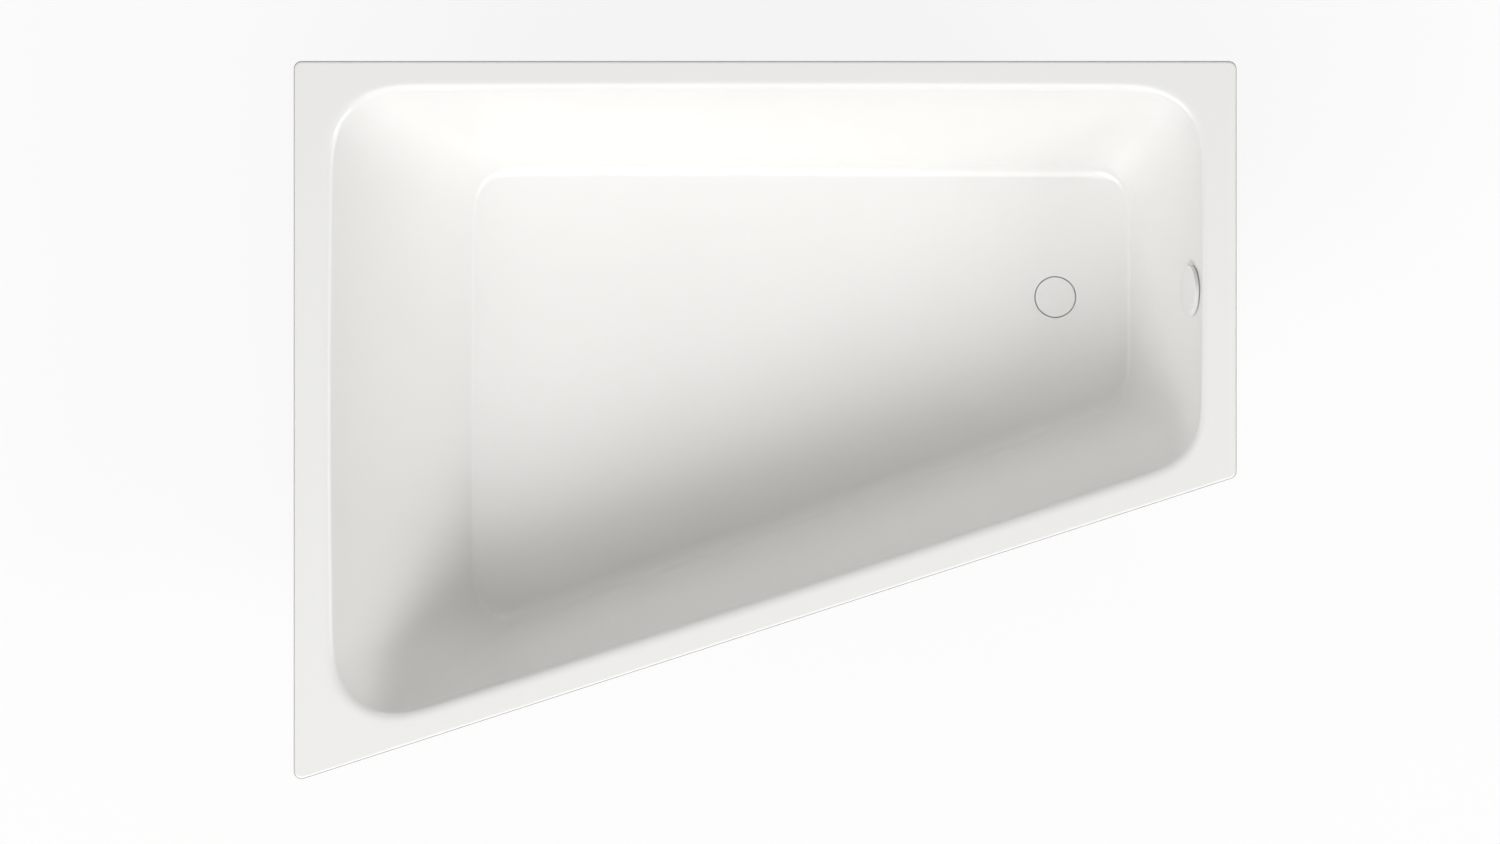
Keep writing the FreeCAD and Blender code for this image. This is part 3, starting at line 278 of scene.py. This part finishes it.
UPWARDS = np.array([0.0, 0.0, 1.0])
top_flat, top_away = basin_outline(RIM_HEIGHT)
low_flat, _ = basin_outline(RECESS_LEVEL)
COLUMNS = len(top_flat)
upright = np.tile(UPWARDS, (COLUMNS, 1))
top_edge = at_height(top_flat, RIM_HEIGHT)
ruling = at_height(low_flat, RECESS_LEVEL) - top_edge
level_run = at_height(np.stack([-top_away[:, 1], top_away[:, 0]], 1), 0)
wall_normal = unit(np.cross(level_run, ruling))
wall_normal *= np.sign(-(wall_normal[:, :2] * top_away).sum(1))[:, None]


def on_wall(share):
    return top_edge + ruling * share[:, None]


def by_side(value):
    """One of the values of SIDES for each column, changing gradually round the corners."""
    values = []
    turn = (1 - np.cos(np.pi * np.arange(CORNER_STEPS) / CORNER_STEPS)) / 2
    for k in range(4):
        before, after = getattr(SIDES[k - 1], value), getattr(SIDES[k], value)
        values += [before + (after - before) * turn, np.full(SIDE_STEPS[k], after)]
    return np.concatenate(values)[:, None]


def summed(values):
    """Running integral of values that are given at equal steps from 0 to 1."""
    parts = (values[:, 1:] + values[:, :-1]) / 2 / (values.shape[1] - 1)
    return np.concatenate([np.zeros((len(values), 1)), np.cumsum(parts, 1)], 1)


drop = RIM_HEIGHT - RECESS_LEVEL
bend, roll = by_side("bend"), by_side("roll")
inward = unit(at_height(wall_normal[:, :2], 0))
roll_steps = ROLL_FINE * ROLL_ROWS
roll_tilt = np.arccos(wall_normal[:, 2:]) * np.linspace(0, 1, roll_steps + 1) ** ROLL_EASE
roll_run, roll_fall = summed(np.cos(roll_tilt)) * roll, summed(np.sin(roll_tilt)) * roll
roll_end = on_wall(roll_fall[:, -1] / drop)
roll_rows = []
for k in range(0, roll_steps + 1, ROLL_FINE):
    back, rise = (sums[:, -1:] - sums[:, k:k + 1] for sums in (roll_run, roll_fall))
    lean = np.cos(roll_tilt[:, k:k + 1]) * upright + np.sin(roll_tilt[:, k:k + 1]) * inward
    roll_rows.append((roll_end - inward * back + upright * rise, lean))
# The bend's centre lies one radius off both wall and floor. Repeated steps find it.
bend_share = np.full(COLUMNS, 0.9)
for _ in range(12):
    centre = on_wall(bend_share) + bend * wall_normal
    wanted = floor_height(centre[:, :2]) + bend[:, 0] / math.cos(FALL)
    bend_share += (centre[:, 2] - wanted) / drop
bend_start = on_wall(bend_share)
bend_centre = bend_start + bend * wall_normal
foot_normal = floor_normal(bend_centre[:, :2])
floor_edge = bend_centre - bend * foot_normal

rows = []
# Coats of the rows: white enamel, the ground coat, and dark grey painted shade on the rim's outer
# edge.
COVER, GROUND, EDGE_SHADE = 0, 1, 2


def add_row(points, before, after=None, coat=COVER):
    """A row of points with the surface's normals on both sides of it, and its coat."""
    rows.append((points, before, before if after is None else after, coat))


def outwards(flat_normals, level=0.0):
    """Normals that lean from level (0) to upright (1) or to straight down (-1)."""
    turn = level * math.pi / 2
    return at_height(flat_normals * math.cos(turn), math.sin(turn))


low_lip = RIM_HEIGHT - FLANGE_HEIGHT
_, rim_away = rim_outline(0, RIM_CORNER)
downwards = -upright
bend_flat, _ = rim_outline(RIM_BEND, RIM_CORNER - RIM_BEND)
add_row(at_height(bend_flat + rim_away * RIM_BEND, low_lip), downwards, outwards(rim_away))
# Part of the edge's turn is painted dark grey: painted shade for an outline along the rim.
for level in np.linspace(0, 1, EDGE_ROWS + 1):
    lean = outwards(rim_away, level)
    coat = EDGE_SHADE if EDGE_SHADE_FROM < level < EDGE_SHADE_TO else COVER
    add_row(at_height(bend_flat, RIM_HEIGHT - RIM_BEND) + RIM_BEND * lean, lean, coat=coat)
ledge_edge = at_height(bend_flat, RIM_HEIGHT)
first_ledge_row = len(rows)
for share in LEDGE_SHARES:
    add_row(ledge_edge + (roll_rows[0][0] - ledge_edge) * share, upright)
for place, lean in roll_rows:
    add_row(place, lean)
first_wall_row = len(rows) - 1
for share in np.arange(1, WALL_ROWS) / WALL_ROWS:
    add_row(roll_end + (bend_start - roll_end) * share, wall_normal)
for lean in turn_between(wall_normal, foot_normal, BEND_ROWS):
    add_row(bend_centre - bend * lean, lean)
away = unit(floor_edge[:, :2] - DRAIN)
reach = np.linalg.norm(floor_edge[:, :2] - DRAIN, axis=1)
ring = RECESS_RADIUS + RECESS_EDGE
for share in np.arange(1, FLOOR_ROWS + 1) / FLOOR_ROWS:
    flat = DRAIN + away * (reach * (ring / reach) ** share)[:, None]
    add_row(at_height(flat, floor_height(flat)), floor_normal(flat))
under_from = len(rows)
for level in np.linspace(0, 1, RECESS_EDGE_ROWS + 1)[1:]:
    lean = outwards(-away, 1 - level)
    centre = at_height(DRAIN + away * ring, FLOOR_LEVEL - RECESS_EDGE)
    add_row(centre + RECESS_EDGE * lean, lean)
corner_centre = at_height(
    DRAIN + away * (RECESS_RADIUS - RECESS_FOOT), RECESS_LEVEL + RECESS_FOOT)
for level in np.linspace(0, 1, RECESS_FOOT_ROWS + 1):
    lean = outwards(-away, level)
    add_row(corner_centre - RECESS_FOOT * lean, lean)
hole = DRAIN + away * DRAIN_HOLE
facing_axis = outwards(-away)
add_row(at_height(hole, RECESS_LEVEL), upright, facing_axis)
add_row(at_height(hole, RECESS_LEVEL - SHEET), facing_axis, downwards, GROUND)
outer_radius = RECESS_RADIUS + SHEET
edge_centre = at_height(DRAIN + away * (outer_radius - SHEET), RECESS_LEVEL)
for level in np.linspace(1, 0, RECESS_EDGE_ROWS + 1):
    lean = outwards(away, -level)
    add_row(edge_centre + SHEET * lean, lean, coat=GROUND)
under_level = FLOOR_LEVEL - SHEET / math.cos(FALL) + SHEET * math.tan(FALL)
top_rows = rows[1:under_from]
under_rows = [(p - SHEET * n, -n) for p, n, _, _ in top_rows]
first_under = len(rows)
add_row(
    at_height(DRAIN + away * outer_radius, under_level), outwards(away), under_rows[-1][1], GROUND)
for points, lean in under_rows[-2::-1]:
    add_row(points, lean, coat=GROUND)
inside_flange = bend_flat + rim_away * (RIM_BEND - SHEET)
add_row(at_height(inside_flange, low_lip), -outwards(rim_away), downwards, GROUND)

# The basin's side of the wall stands in a little towards the rim; the hidden side doesn't.
wall_foot = bend_start[:, 2:]
for k in range(first_ledge_row, first_wall_row + WALL_ROWS):
    place, before, after, coat = rows[k]
    share = np.clip((place[:, 2:] - wall_foot) / (RIM_HEIGHT - wall_foot), 0, 1)
    if k - first_ledge_row < len(LEDGE_SHARES):
        share = share * LEDGE_SHARES[k - first_ledge_row]
    rows[k] = (place + inward * by_side("stand_in") * share, before, after, coat)

points = np.concatenate([r[0] for r in rows])
quads, corner_normals, coats = [], [], []
foot_first = 2 * CORNER_STEPS + SIDE_STEPS[0]
foot_columns = np.arange(foot_first, foot_first + SIDE_STEPS[1])


def patch_ranges():
    """Columns and wall rows of the block round the overflow's hole."""
    middle = rows[first_wall_row + BLOCK_PICK_ROW][0][foot_columns]
    near = foot_columns[np.abs(middle[:, 1] - OVERFLOW_Y) < BLOCK_REACH[0]]
    heights = np.array([rows[first_wall_row + k][0][near[0], 2] for k in range(WALL_ROWS)])
    level = np.abs(heights - (RIM_HEIGHT - OVERFLOW_DROP)) < BLOCK_REACH[1]
    wanted = np.where(level)[0] + first_wall_row
    return near[0], near[-1], wanted[0], wanted[-1]


col_a, col_b, row_a, row_b = patch_ranges()
mirror_row = {k + 1: first_under + len(top_rows) - 1 - k for k in range(len(top_rows))}
under_a, under_b = mirror_row[row_b], mirror_row[row_a]
count = len(rows)
for r in range(count):
    s = (r + 1) % count
    after, before = rows[r][2], rows[s][1]
    coat = rows[r][3] if rows[s][3] == rows[r][3] or s == 0 else COVER
    open_here = (row_a <= r < row_b) or (under_a <= r < under_b)
    for c in range(COLUMNS):
        if open_here and col_a <= c < col_b:
            continue
        d = (c + 1) % COLUMNS
        quads.append((r * COLUMNS + c, r * COLUMNS + d, s * COLUMNS + d, s * COLUMNS + c))
        corner_normals += [after[c], after[d], before[d], before[c]]
        coats.append(coat)

# Rings from the open block in the foot wall to the overflow's round hole
wall_out = wall_normal[(col_a + col_b) // 2]
up_wall = unit(UPWARDS - wall_out * wall_out[2])
across = np.cross(wall_out, up_wall)
loop = [(row_a, c) for c in range(col_a, col_b)]
loop += [(r, col_b) for r in range(row_a, row_b)]
loop += [(row_b, c) for c in range(col_b, col_a, -1)]
loop += [(r, col_a) for r in range(row_b, row_a, -1)]
block = np.array([rows[r][0][c] for r, c in loop])
near_wall = rows[row_a][0][col_a:col_b + 1].mean(0), rows[row_b][0][col_a:col_b + 1].mean(0)
share = (near_wall[0][2] - (RIM_HEIGHT - OVERFLOW_DROP)) / (near_wall[0][2] - near_wall[1][2])
overflow = near_wall[0] + (near_wall[1] - near_wall[0]) * share
overflow[1] = OVERFLOW_Y
spread = block - overflow
angles = np.arctan2(spread @ up_wall, spread @ across)
around = np.cos(angles)[:, None] * across + np.sin(angles)[:, None] * up_wall
offset = spread @ wall_out
circle = overflow + around * OVERFLOW_HOLE + wall_out * offset.mean()
extra = []
base = len(points)
size = len(loop)
skins = []
for side in (0, 1):
    sign = 1 if side == 0 else -1
    ids = [(r if side == 0 else mirror_row[r]) * COLUMNS + c for r, c in loop]
    lines = [ids]
    for k in range(1, BLOCK_RINGS + 1):
        share = k / BLOCK_RINGS
        ring_points = block + (circle - block) * share - (SHEET * wall_out if side else 0)
        lines.append([base + len(extra) * size + j for j in range(size)])
        extra.append(ring_points)
    for a, b in zip(lines, lines[1:]):
        for j in range(size):
            n = (j + 1) % size
            quads.append((a[j], b[j], b[n], a[n]) if side else (a[j], a[n], b[n], b[j]))
            corner_normals += [sign * wall_out] * 4
            coats.append(GROUND if side else COVER)
    skins.append(lines[-1])
for j in range(size):
    n = (j + 1) % size
    quads.append((skins[0][j], skins[0][n], skins[1][n], skins[1][j]))
    corner_normals += [-around[j], -around[n], -around[n], -around[j]]
    coats.append(COVER)
points = np.concatenate([points] + extra)


def mesh_object(name, points, faces, normals=None):
    """Mesh object in metres from points in millimetres."""
    mesh = bpy.data.meshes.new(name)
    mesh.from_pydata((np.asarray(points) * MM).tolist(), [], faces)
    mesh.validate()
    mesh.polygons.foreach_set("use_smooth", [True] * len(mesh.polygons))
    if normals is not None:
        mesh.normals_split_custom_set([tuple(n) for n in normals])
    mesh.update()
    made = bpy.data.objects.new(name, mesh)
    bpy.context.scene.collection.objects.link(made)
    return made


tub = mesh_object("enamelled_tub", points, quads, corner_normals)
tub.data.polygons.foreach_set("material_index", coats)
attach(tub, "tub")
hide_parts("tub_shell")


# Turned pieces and screw threads

def arc(radius, along, bend, first, last, steps=6):
    """Points of an arc in a turned profile; its angles in degrees start square to the axis."""
    angles = [math.radians(first + (last - first) * k / steps) for k in range(steps + 1)]
    return [(radius + bend * math.cos(a), along + bend * math.sin(a)) for a in angles]


def turned(name, profile, origin, axis, steps=128):
    """Closed solid turned about an axis, from (radius, distance along the axis) in outward order."""
    side = unit(np.cross(axis, (0.0, 1.0, 0.0) if abs(axis[1]) < 0.9 else (1.0, 0.0, 0.0)))
    third = np.cross(axis, side)
    angle = 2 * np.pi * np.arange(steps)[:, None] / steps
    around = np.cos(angle) * side + np.sin(angle) * third
    points, rings, faces = [], [], []
    for radius, along in profile:
        centre = origin + np.asarray(axis) * along
        ring = [centre] if radius == 0 else list(centre + radius * around)
        rings.append([len(points) + j for j in range(len(ring))])
        points += ring
    for a, b in zip(rings, rings[1:]):
        for j in range(steps):
            n = (j + 1) % steps
            if len(a) == 1:
                faces.append((a[0], b[n], b[j]))
            elif len(b) == 1:
                faces.append((a[j], a[n], b[0]))
            else:
                faces.append((a[j], a[n], b[n], b[j]))
    made = mesh_object(name, points, faces)
    made.data.set_sharp_from_angle(angle=SHARP_ANGLE)
    return made


def middle(node):
    """Middle of a CAD piece's box."""
    corners = np.array([v.co for v in frame["nodes"][node].data.vertices]) / MM
    return (corners.min(0) + corners.max(0)) / 2


def thread(name, centre, low, high):
    """Ridge of an M10 thread that winds up a rod, closed at both ends."""
    section = [(radius, lift * PITCH) for radius, lift in RIDGE]
    steps = round((high - low) / PITCH * TURN_STEPS)
    points, faces = [], []
    for k in range(steps + 1):
        angle = 2 * math.pi * k / TURN_STEPS
        level = low + PITCH * k / TURN_STEPS
        for radius, lift in section:
            across, along = radius * math.cos(angle), radius * math.sin(angle)
            points.append((centre[0] + across, centre[1] + along, level + lift))
    for k in range(steps):
        a, b = 4 * k, 4 * k + 4
        for j in range(4):
            n = (j + 1) % 4
            faces.append((a + j, b + j, b + n, a + n))
    faces += [(0, 1, 2, 3), tuple(4 * steps + j for j in (3, 2, 1, 0))]
    made = mesh_object(name, points, faces)
    made.data.set_sharp_from_angle(angle=SHARP_ANGLE)
    return made


pieces = []
cap_profile = [(0, FLOOR_LEVEL - CAP_SHEET)]
cap_profile += arc(
    CAP_RADIUS - CAP_LOW_EDGE, FLOOR_LEVEL - CAP_SHEET + CAP_LOW_EDGE, CAP_LOW_EDGE, -90, 0, 3)
cap_profile += arc(CAP_RADIUS - CAP_TOP_EDGE, FLOOR_LEVEL - CAP_TOP_EDGE, CAP_TOP_EDGE, 0, 90)
cap_profile.append((0, FLOOR_LEVEL))
cap = turned("enamelled_drain_cap", cap_profile, np.array([*DRAIN, 0.0]), UPWARDS)
pieces.append((cap, "plug", "drain_cover", "cover_enamel"))

face_top = KNOB_GAP + KNOB_THICK
knob_profile = [
    (0, face_top - KNOB_THICK / 2), (KNOB_SHAFT, face_top - KNOB_THICK / 2), (KNOB_SHAFT, HUB_START),
    (KNOB_HUB, HUB_START), (KNOB_HUB, KNOB_GAP),
]
knob_profile += arc(
    KNOB_RADIUS - SKIRT - SKIRT_HOLLOW, KNOB_GAP - SKIRT_HOLLOW, SKIRT_HOLLOW, 90, 0, 4)
knob_profile += arc(KNOB_RADIUS - SKIRT / 2, SKIRT_START + SKIRT / 2, SKIRT / 2, -180, 0)
knob_profile += arc(KNOB_RADIUS - KNOB_EDGE, face_top - KNOB_EDGE, KNOB_EDGE, 0, 90, 8)
knob_profile.append((0, face_top))
knob_axis = unit(wall_out * (1, 0, 1))
knob = turned("overflow_cover_knob", knob_profile, overflow, knob_axis, 160)
pieces.append((knob, "knob", "overflow_knob", "knob_white"))
# Faces up to just past the gap are light grey: painted shade for the gap behind the knob.
for polygon in knob.data.polygons:
    beyond = (np.array(polygon.center) / MM - overflow) @ knob_axis
    polygon.material_index = int(beyond < KNOB_GAP + SHADE_PAST_GAP)

for foot in ("head_front", "head_back", "foot_front", "foot_back"):
    ridge = thread("thread_" + foot, middle("foot_spindle_" + foot), THREAD_LOW, THREAD_HIGH)
    pieces.append((ridge, "spindle_" + foot, None, "galvanised"))
for piece, body, replaced, slot in pieces:
    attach(piece, body)
    if replaced:
        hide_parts(replaced)
for name in ("head_rail", "foot_rail", "head_rail_saddles", "foot_rail_saddles"):
    bevel = frame["nodes"][name].modifiers.new("folded_edges", "BEVEL")
    bevel.width = FOLD_EDGE * MM
    bevel.segments = 2
    bevel.limit_method = "ANGLE"
    bevel.angle_limit = math.radians(40)


# Materials

def new_material(name):
    made = bpy.data.materials.new(name)
    made.use_nodes = True
    shader = made.node_tree.nodes["Principled BSDF"]
    return made, made.node_tree, shader


def noise(tree, scale, detail, rough):
    """Noise in the object's own space, with scale in features per metre."""
    place = tree.nodes.new("ShaderNodeTexCoord")
    made = tree.nodes.new("ShaderNodeTexNoise")
    made.inputs["Scale"].default_value = scale
    made.inputs["Detail"].default_value = detail
    made.inputs["Roughness"].default_value = rough
    tree.links.new(place.outputs["Object"], made.inputs["Vector"])
    return made.outputs["Fac"]


def ramp(tree, source, low, high):
    """Colour between two stops, each a place and a colour."""
    made = tree.nodes.new("ShaderNodeValToRGB")
    for element, (place, colour) in zip(made.color_ramp.elements, (low, high)):
        element.position = place
        element.color = (*colour, 1)
    tree.links.new(source, made.inputs["Fac"])
    return made.outputs["Color"]


def spread_value(tree, source, low, high):
    """Value spread over the range from low to high."""
    made = tree.nodes.new("ShaderNodeMapRange")
    made.inputs["To Min"].default_value = low
    made.inputs["To Max"].default_value = high
    tree.links.new(source, made.inputs["Value"])
    return made.outputs["Result"]


def bump(tree, source, height, strength=1.0, after=None):
    """Bump whose height is in metres."""
    made = tree.nodes.new("ShaderNodeBump")
    made.inputs["Strength"].default_value = strength
    made.inputs["Distance"].default_value = height
    tree.links.new(source, made.inputs["Height"])
    if after is not None:
        tree.links.new(after, made.inputs["Normal"])
    return made.outputs["Normal"]


def plain(colour, shift):
    """Colour made lighter or darker by a share."""
    return tuple(min(1.0, c * (1 + shift)) for c in colour)


def patchy(tree, source, colour, shade):
    """Colour that goes from darker to lighter by a share, with flat ends."""
    return ramp(tree, source, (0.3, plain(colour, -shade)), (0.7, plain(colour, shade)))


def surface(name, colour, rough, metallic, grain, grain_height, shade, patch=18.0):
    """Material with patches of colour, uneven gloss and a fine grain.

    rough is the range of the roughness, grain and patch are features per metre, grain_height is
    in metres, and shade is the share by which the patches are lighter or darker."""
    made, tree, shader = new_material(name)
    patches = noise(tree, patch, 3.0, 0.55)
    fine = noise(tree, grain, 6.0, 0.6)
    tree.links.new(patchy(tree, patches, colour, shade), shader.inputs["Base Color"])
    tree.links.new(spread_value(tree, fine, *rough), shader.inputs["Roughness"])
    tree.links.new(bump(tree, fine, grain_height), shader.inputs["Normal"])
    shader.inputs["Metallic"].default_value = metallic
    shader.inputs["IOR"].default_value = 1.5
    return made


def enamel(name, colour=(0.864, 0.862, 0.852)):
    """White vitreous enamel: glassy, faintly wavy, with a trace of colour variation."""
    made, tree, shader = new_material(name)
    wide = noise(tree, 2.2, 2.0, 0.5)
    wave = noise(tree, 26.0, 2.0, 0.5)
    peel = noise(tree, 420.0, 2.0, 0.5)
    fine = noise(tree, 60.0, 4.0, 0.5)
    tree.links.new(patchy(tree, wide, colour, 0.006), shader.inputs["Base Color"])
    tree.links.new(spread_value(tree, fine, 0.22, 0.28), shader.inputs["Roughness"])
    waves = bump(tree, wave, 0.00010, 0.6)
    tree.links.new(bump(tree, peel, 0.000006, 0.6, waves), shader.inputs["Normal"])
    shader.inputs["IOR"].default_value = 1.5
    shader.inputs["Coat Weight"].default_value = 0.25
    shader.inputs["Coat Roughness"].default_value = 0.1
    return made


def ground_coat():
    """Dark blue-grey first enamel on the hidden side, with white specks."""
    made, tree, shader = new_material("ground_coat")
    specks = noise(tree, 900.0, 2.0, 0.7)
    patches = noise(tree, 9.0, 4.0, 0.6)
    fine = noise(tree, 300.0, 4.0, 0.6)
    dark = ramp(tree, patches, (0.3, (0.028, 0.035, 0.047)), (0.7, (0.046, 0.056, 0.072)))
    mix = tree.nodes.new("ShaderNodeMix")
    mix.data_type = "RGBA"
    mask = ramp(tree, specks, (0.62, (0, 0, 0)), (0.70, (1, 1, 1)))
    tree.links.new(mask, mix.inputs["Factor"])
    tree.links.new(dark, mix.inputs["A"])
    mix.inputs["B"].default_value = (0.35, 0.38, 0.42, 1)
    tree.links.new(mix.outputs["Result"], shader.inputs["Base Color"])
    tree.links.new(spread_value(tree, fine, 0.25, 0.45), shader.inputs["Roughness"])
    tree.links.new(bump(tree, fine, 0.00005), shader.inputs["Normal"])
    return made


WHITE = enamel("white_enamel")
# The third coat is dark grey painted shade for the rim's outer edge.
for coat in (WHITE, ground_coat(), enamel("painted_edge_shade", (0.30, 0.30, 0.295))):
    tub.data.materials.append(coat)

# The slot, and what surface() takes for its material.
LOOKS = (
    ("galvanised", "zinc_plated_steel", (0.60, 0.61, 0.62), (0.28, 0.5), 1, 700, 2e-5, 0.09, 110),
    ("chrome", "polished_chrome", (0.80, 0.81, 0.82), (0.05, 0.12), 1, 300, 3e-6, 0.03),
    ("screw_steel", "stainless_steel", (0.66, 0.66, 0.65), (0.2, 0.35), 1, 900, 1e-5, 0.05),
    ("white_plastic", "white_polypropylene", (0.78, 0.78, 0.76), (0.38, 0.5), 0, 900, 3e-5, 0.02),
    ("grey_plastic", "grey_polypropylene", (0.20, 0.205, 0.21), (0.4, 0.55), 0, 900, 4e-5, 0.06),
    ("black_plastic", "black_nylon", (0.02, 0.02, 0.022), (0.35, 0.5), 0, 900, 3e-5, 0.15),
    ("seal_rubber", "black_rubber", (0.015, 0.015, 0.015), (0.5, 0.7), 0, 1200, 5e-5, 0.15),
    ("pad_rubber", "foot_rubber", (0.035, 0.035, 0.037), (0.6, 0.8), 0, 700, 1e-4, 0.2),
    ("bitumen", "bitumen_felt", (0.028, 0.027, 0.026), (0.55, 0.85), 0, 330, 6e-4, 0.16, 70),
    ("saddle_foam", "rubber_block", (0.06, 0.06, 0.062), (0.7, 0.9), 0, 500, 3e-4, 0.2),
)
look = {slot: surface(*values) for slot, *values in LOOKS}
look.update(dict.fromkeys(("cover_enamel", "enamel", "knob_white"), WHITE))
slot_of = {part["node"]: part["material_slot"] for part in frame["record"]["subparts"]}
for name, node in frame["nodes"].items():
    node.data.materials.clear()
    node.data.materials.append(look[slot_of[name]])
for piece, _, _, slot in pieces:
    piece.data.materials.append(look[slot])
# Light grey painted shade on the knob's skirt, for the gap between knob and wall.
knob.data.materials.append(
    surface("painted_gap_shade", (0.79, 0.79, 0.78), (0.35, 0.5), 0, 900, 3e-5, 0.03))


# Floor, light and camera

# Share of plain white in the floor as it is seen directly; the rest keeps the shadow.
WHITE_SHARE = 0.87
bpy.ops.mesh.primitive_plane_add(size=60, location=(0, 0, 0))
ground_plane = bpy.context.object
ground_plane.name = "studio_floor"
scene = bpy.context.scene


def seen_directly(tree):
    """1 on rays from the camera and on reflected or refracted ones, and 0 on the rest."""
    path = tree.nodes.new("ShaderNodeLightPath")
    found = path.outputs["Is Camera Ray"]
    for name in ("Is Glossy Ray", "Is Transmission Ray"):
        largest = tree.nodes.new("ShaderNodeMath")
        largest.operation = "MAXIMUM"
        tree.links.new(found, largest.inputs[0])
        tree.links.new(path.outputs[name], largest.inputs[1])
        found = largest.outputs["Value"]
    return found


paper, tree, shader = new_material("studio_paper")
shader.inputs["Base Color"].default_value = (0.93, 0.93, 0.93, 1)
shader.inputs["Roughness"].default_value = 1.0
shader.inputs["Specular IOR Level"].default_value = 0.0
white = tree.nodes.new("ShaderNodeEmission")
share = tree.nodes.new("ShaderNodeMath")
share.operation = "MULTIPLY"
share.inputs[1].default_value = WHITE_SHARE
tree.links.new(seen_directly(tree), share.inputs[0])
blend = tree.nodes.new("ShaderNodeMixShader")
tree.links.new(share.outputs["Value"], blend.inputs["Fac"])
tree.links.new(shader.outputs["BSDF"], blend.inputs[1])
tree.links.new(white.outputs["Emission"], blend.inputs[2])
tree.links.new(blend.outputs["Shader"], tree.nodes["Material Output"].inputs["Surface"])
ground_plane.data.materials.append(paper)

world = bpy.data.worlds.new("studio")
scene.world = world
world.use_nodes = True
nodes, links = world.node_tree.nodes, world.node_tree.links
fill = nodes["Background"]
fill.inputs["Color"].default_value = (1, 0.98, 0.93, 1)
fill.inputs["Strength"].default_value = 0.24
seen = nodes.new("ShaderNodeBackground")
seen.name = "seen_white"
seen.inputs["Color"].default_value = (1, 1, 1, 1)
seen.inputs["Strength"].default_value = 1.0
mix = nodes.new("ShaderNodeMixShader")
links.new(seen_directly(world.node_tree), mix.inputs["Fac"])
links.new(fill.outputs["Background"], mix.inputs[1])
links.new(seen.outputs["Background"], mix.inputs[2])
links.new(mix.outputs["Shader"], nodes["World Output"].inputs["Surface"])

# Lamps in metres: how far they are from the point that they aim at, and how large.
LAMP_AIM = Vector((0, 0, 0.4))
LAMP_DISTANCE = 20.0
LAMP_SIDE = 7.4


def softbox(name, heading, climb, level):
    """Square lamp on a wide sphere round the tub; level is its light on a sheet square to it."""
    turn, rise = math.radians(heading), math.radians(climb)
    away = Vector((math.cos(turn) * math.cos(rise), math.sin(turn) * math.cos(rise), math.sin(rise)))
    data = bpy.data.lights.new(name, "AREA")
    data.shape = "SQUARE"
    data.size = LAMP_SIDE
    data.energy = level * math.pi * LAMP_DISTANCE ** 2
    lamp = bpy.data.objects.new(name, data)
    lamp.location = LAMP_AIM + away * LAMP_DISTANCE
    lamp.rotation_euler = (-away).to_track_quat("-Z", "Y").to_euler()
    scene.collection.objects.link(lamp)


# Name, heading and climb in degrees, and level.
for lamp in (
    ("front_left", -130, 42, 0.65), ("front_left_low", -130, 22, 0.27), ("front", -110, 42, 0.76),
    ("front_high", -82, 64, 0.34), ("front_low", -70, 22, 0.17), ("front_right", -70, 42, 0.08),
    ("right", -30, 42, 0.74), ("right_low", -10, 22, 0.46), ("left_low", 180, 22, 0.27),
    ("back_low", 90, 22, 0.29),
):
    softbox(*lamp)

# The picture's width and height, the pixel of the rim's back left corner, and metres per pixel.
PICTURE = (1500, 844)
RIM_PIXEL = (293.7, 61.0)
SCALE = 1.80295 * MM
LENS, SENSOR = 800.0, 36.0
centre_x = (PICTURE[0] / 2 - RIM_PIXEL[0]) * SCALE - LENGTH * MM / 2
centre_y = BACK_EDGE * MM - (PICTURE[1] / 2 - RIM_PIXEL[1]) * SCALE
camera_data = bpy.data.cameras.new("camera")
camera_data.lens = LENS
camera_data.sensor_width = SENSOR
distance = PICTURE[0] * SCALE * LENS / SENSOR
camera_data.clip_start = 1.0
camera_data.clip_end = 200.0
camera = bpy.data.objects.new("camera", camera_data)
camera.location = (centre_x, centre_y, RIM_HEIGHT * MM + distance)
scene.collection.objects.link(camera)
scene.camera = camera
scene.view_settings.view_transform = "Standard"

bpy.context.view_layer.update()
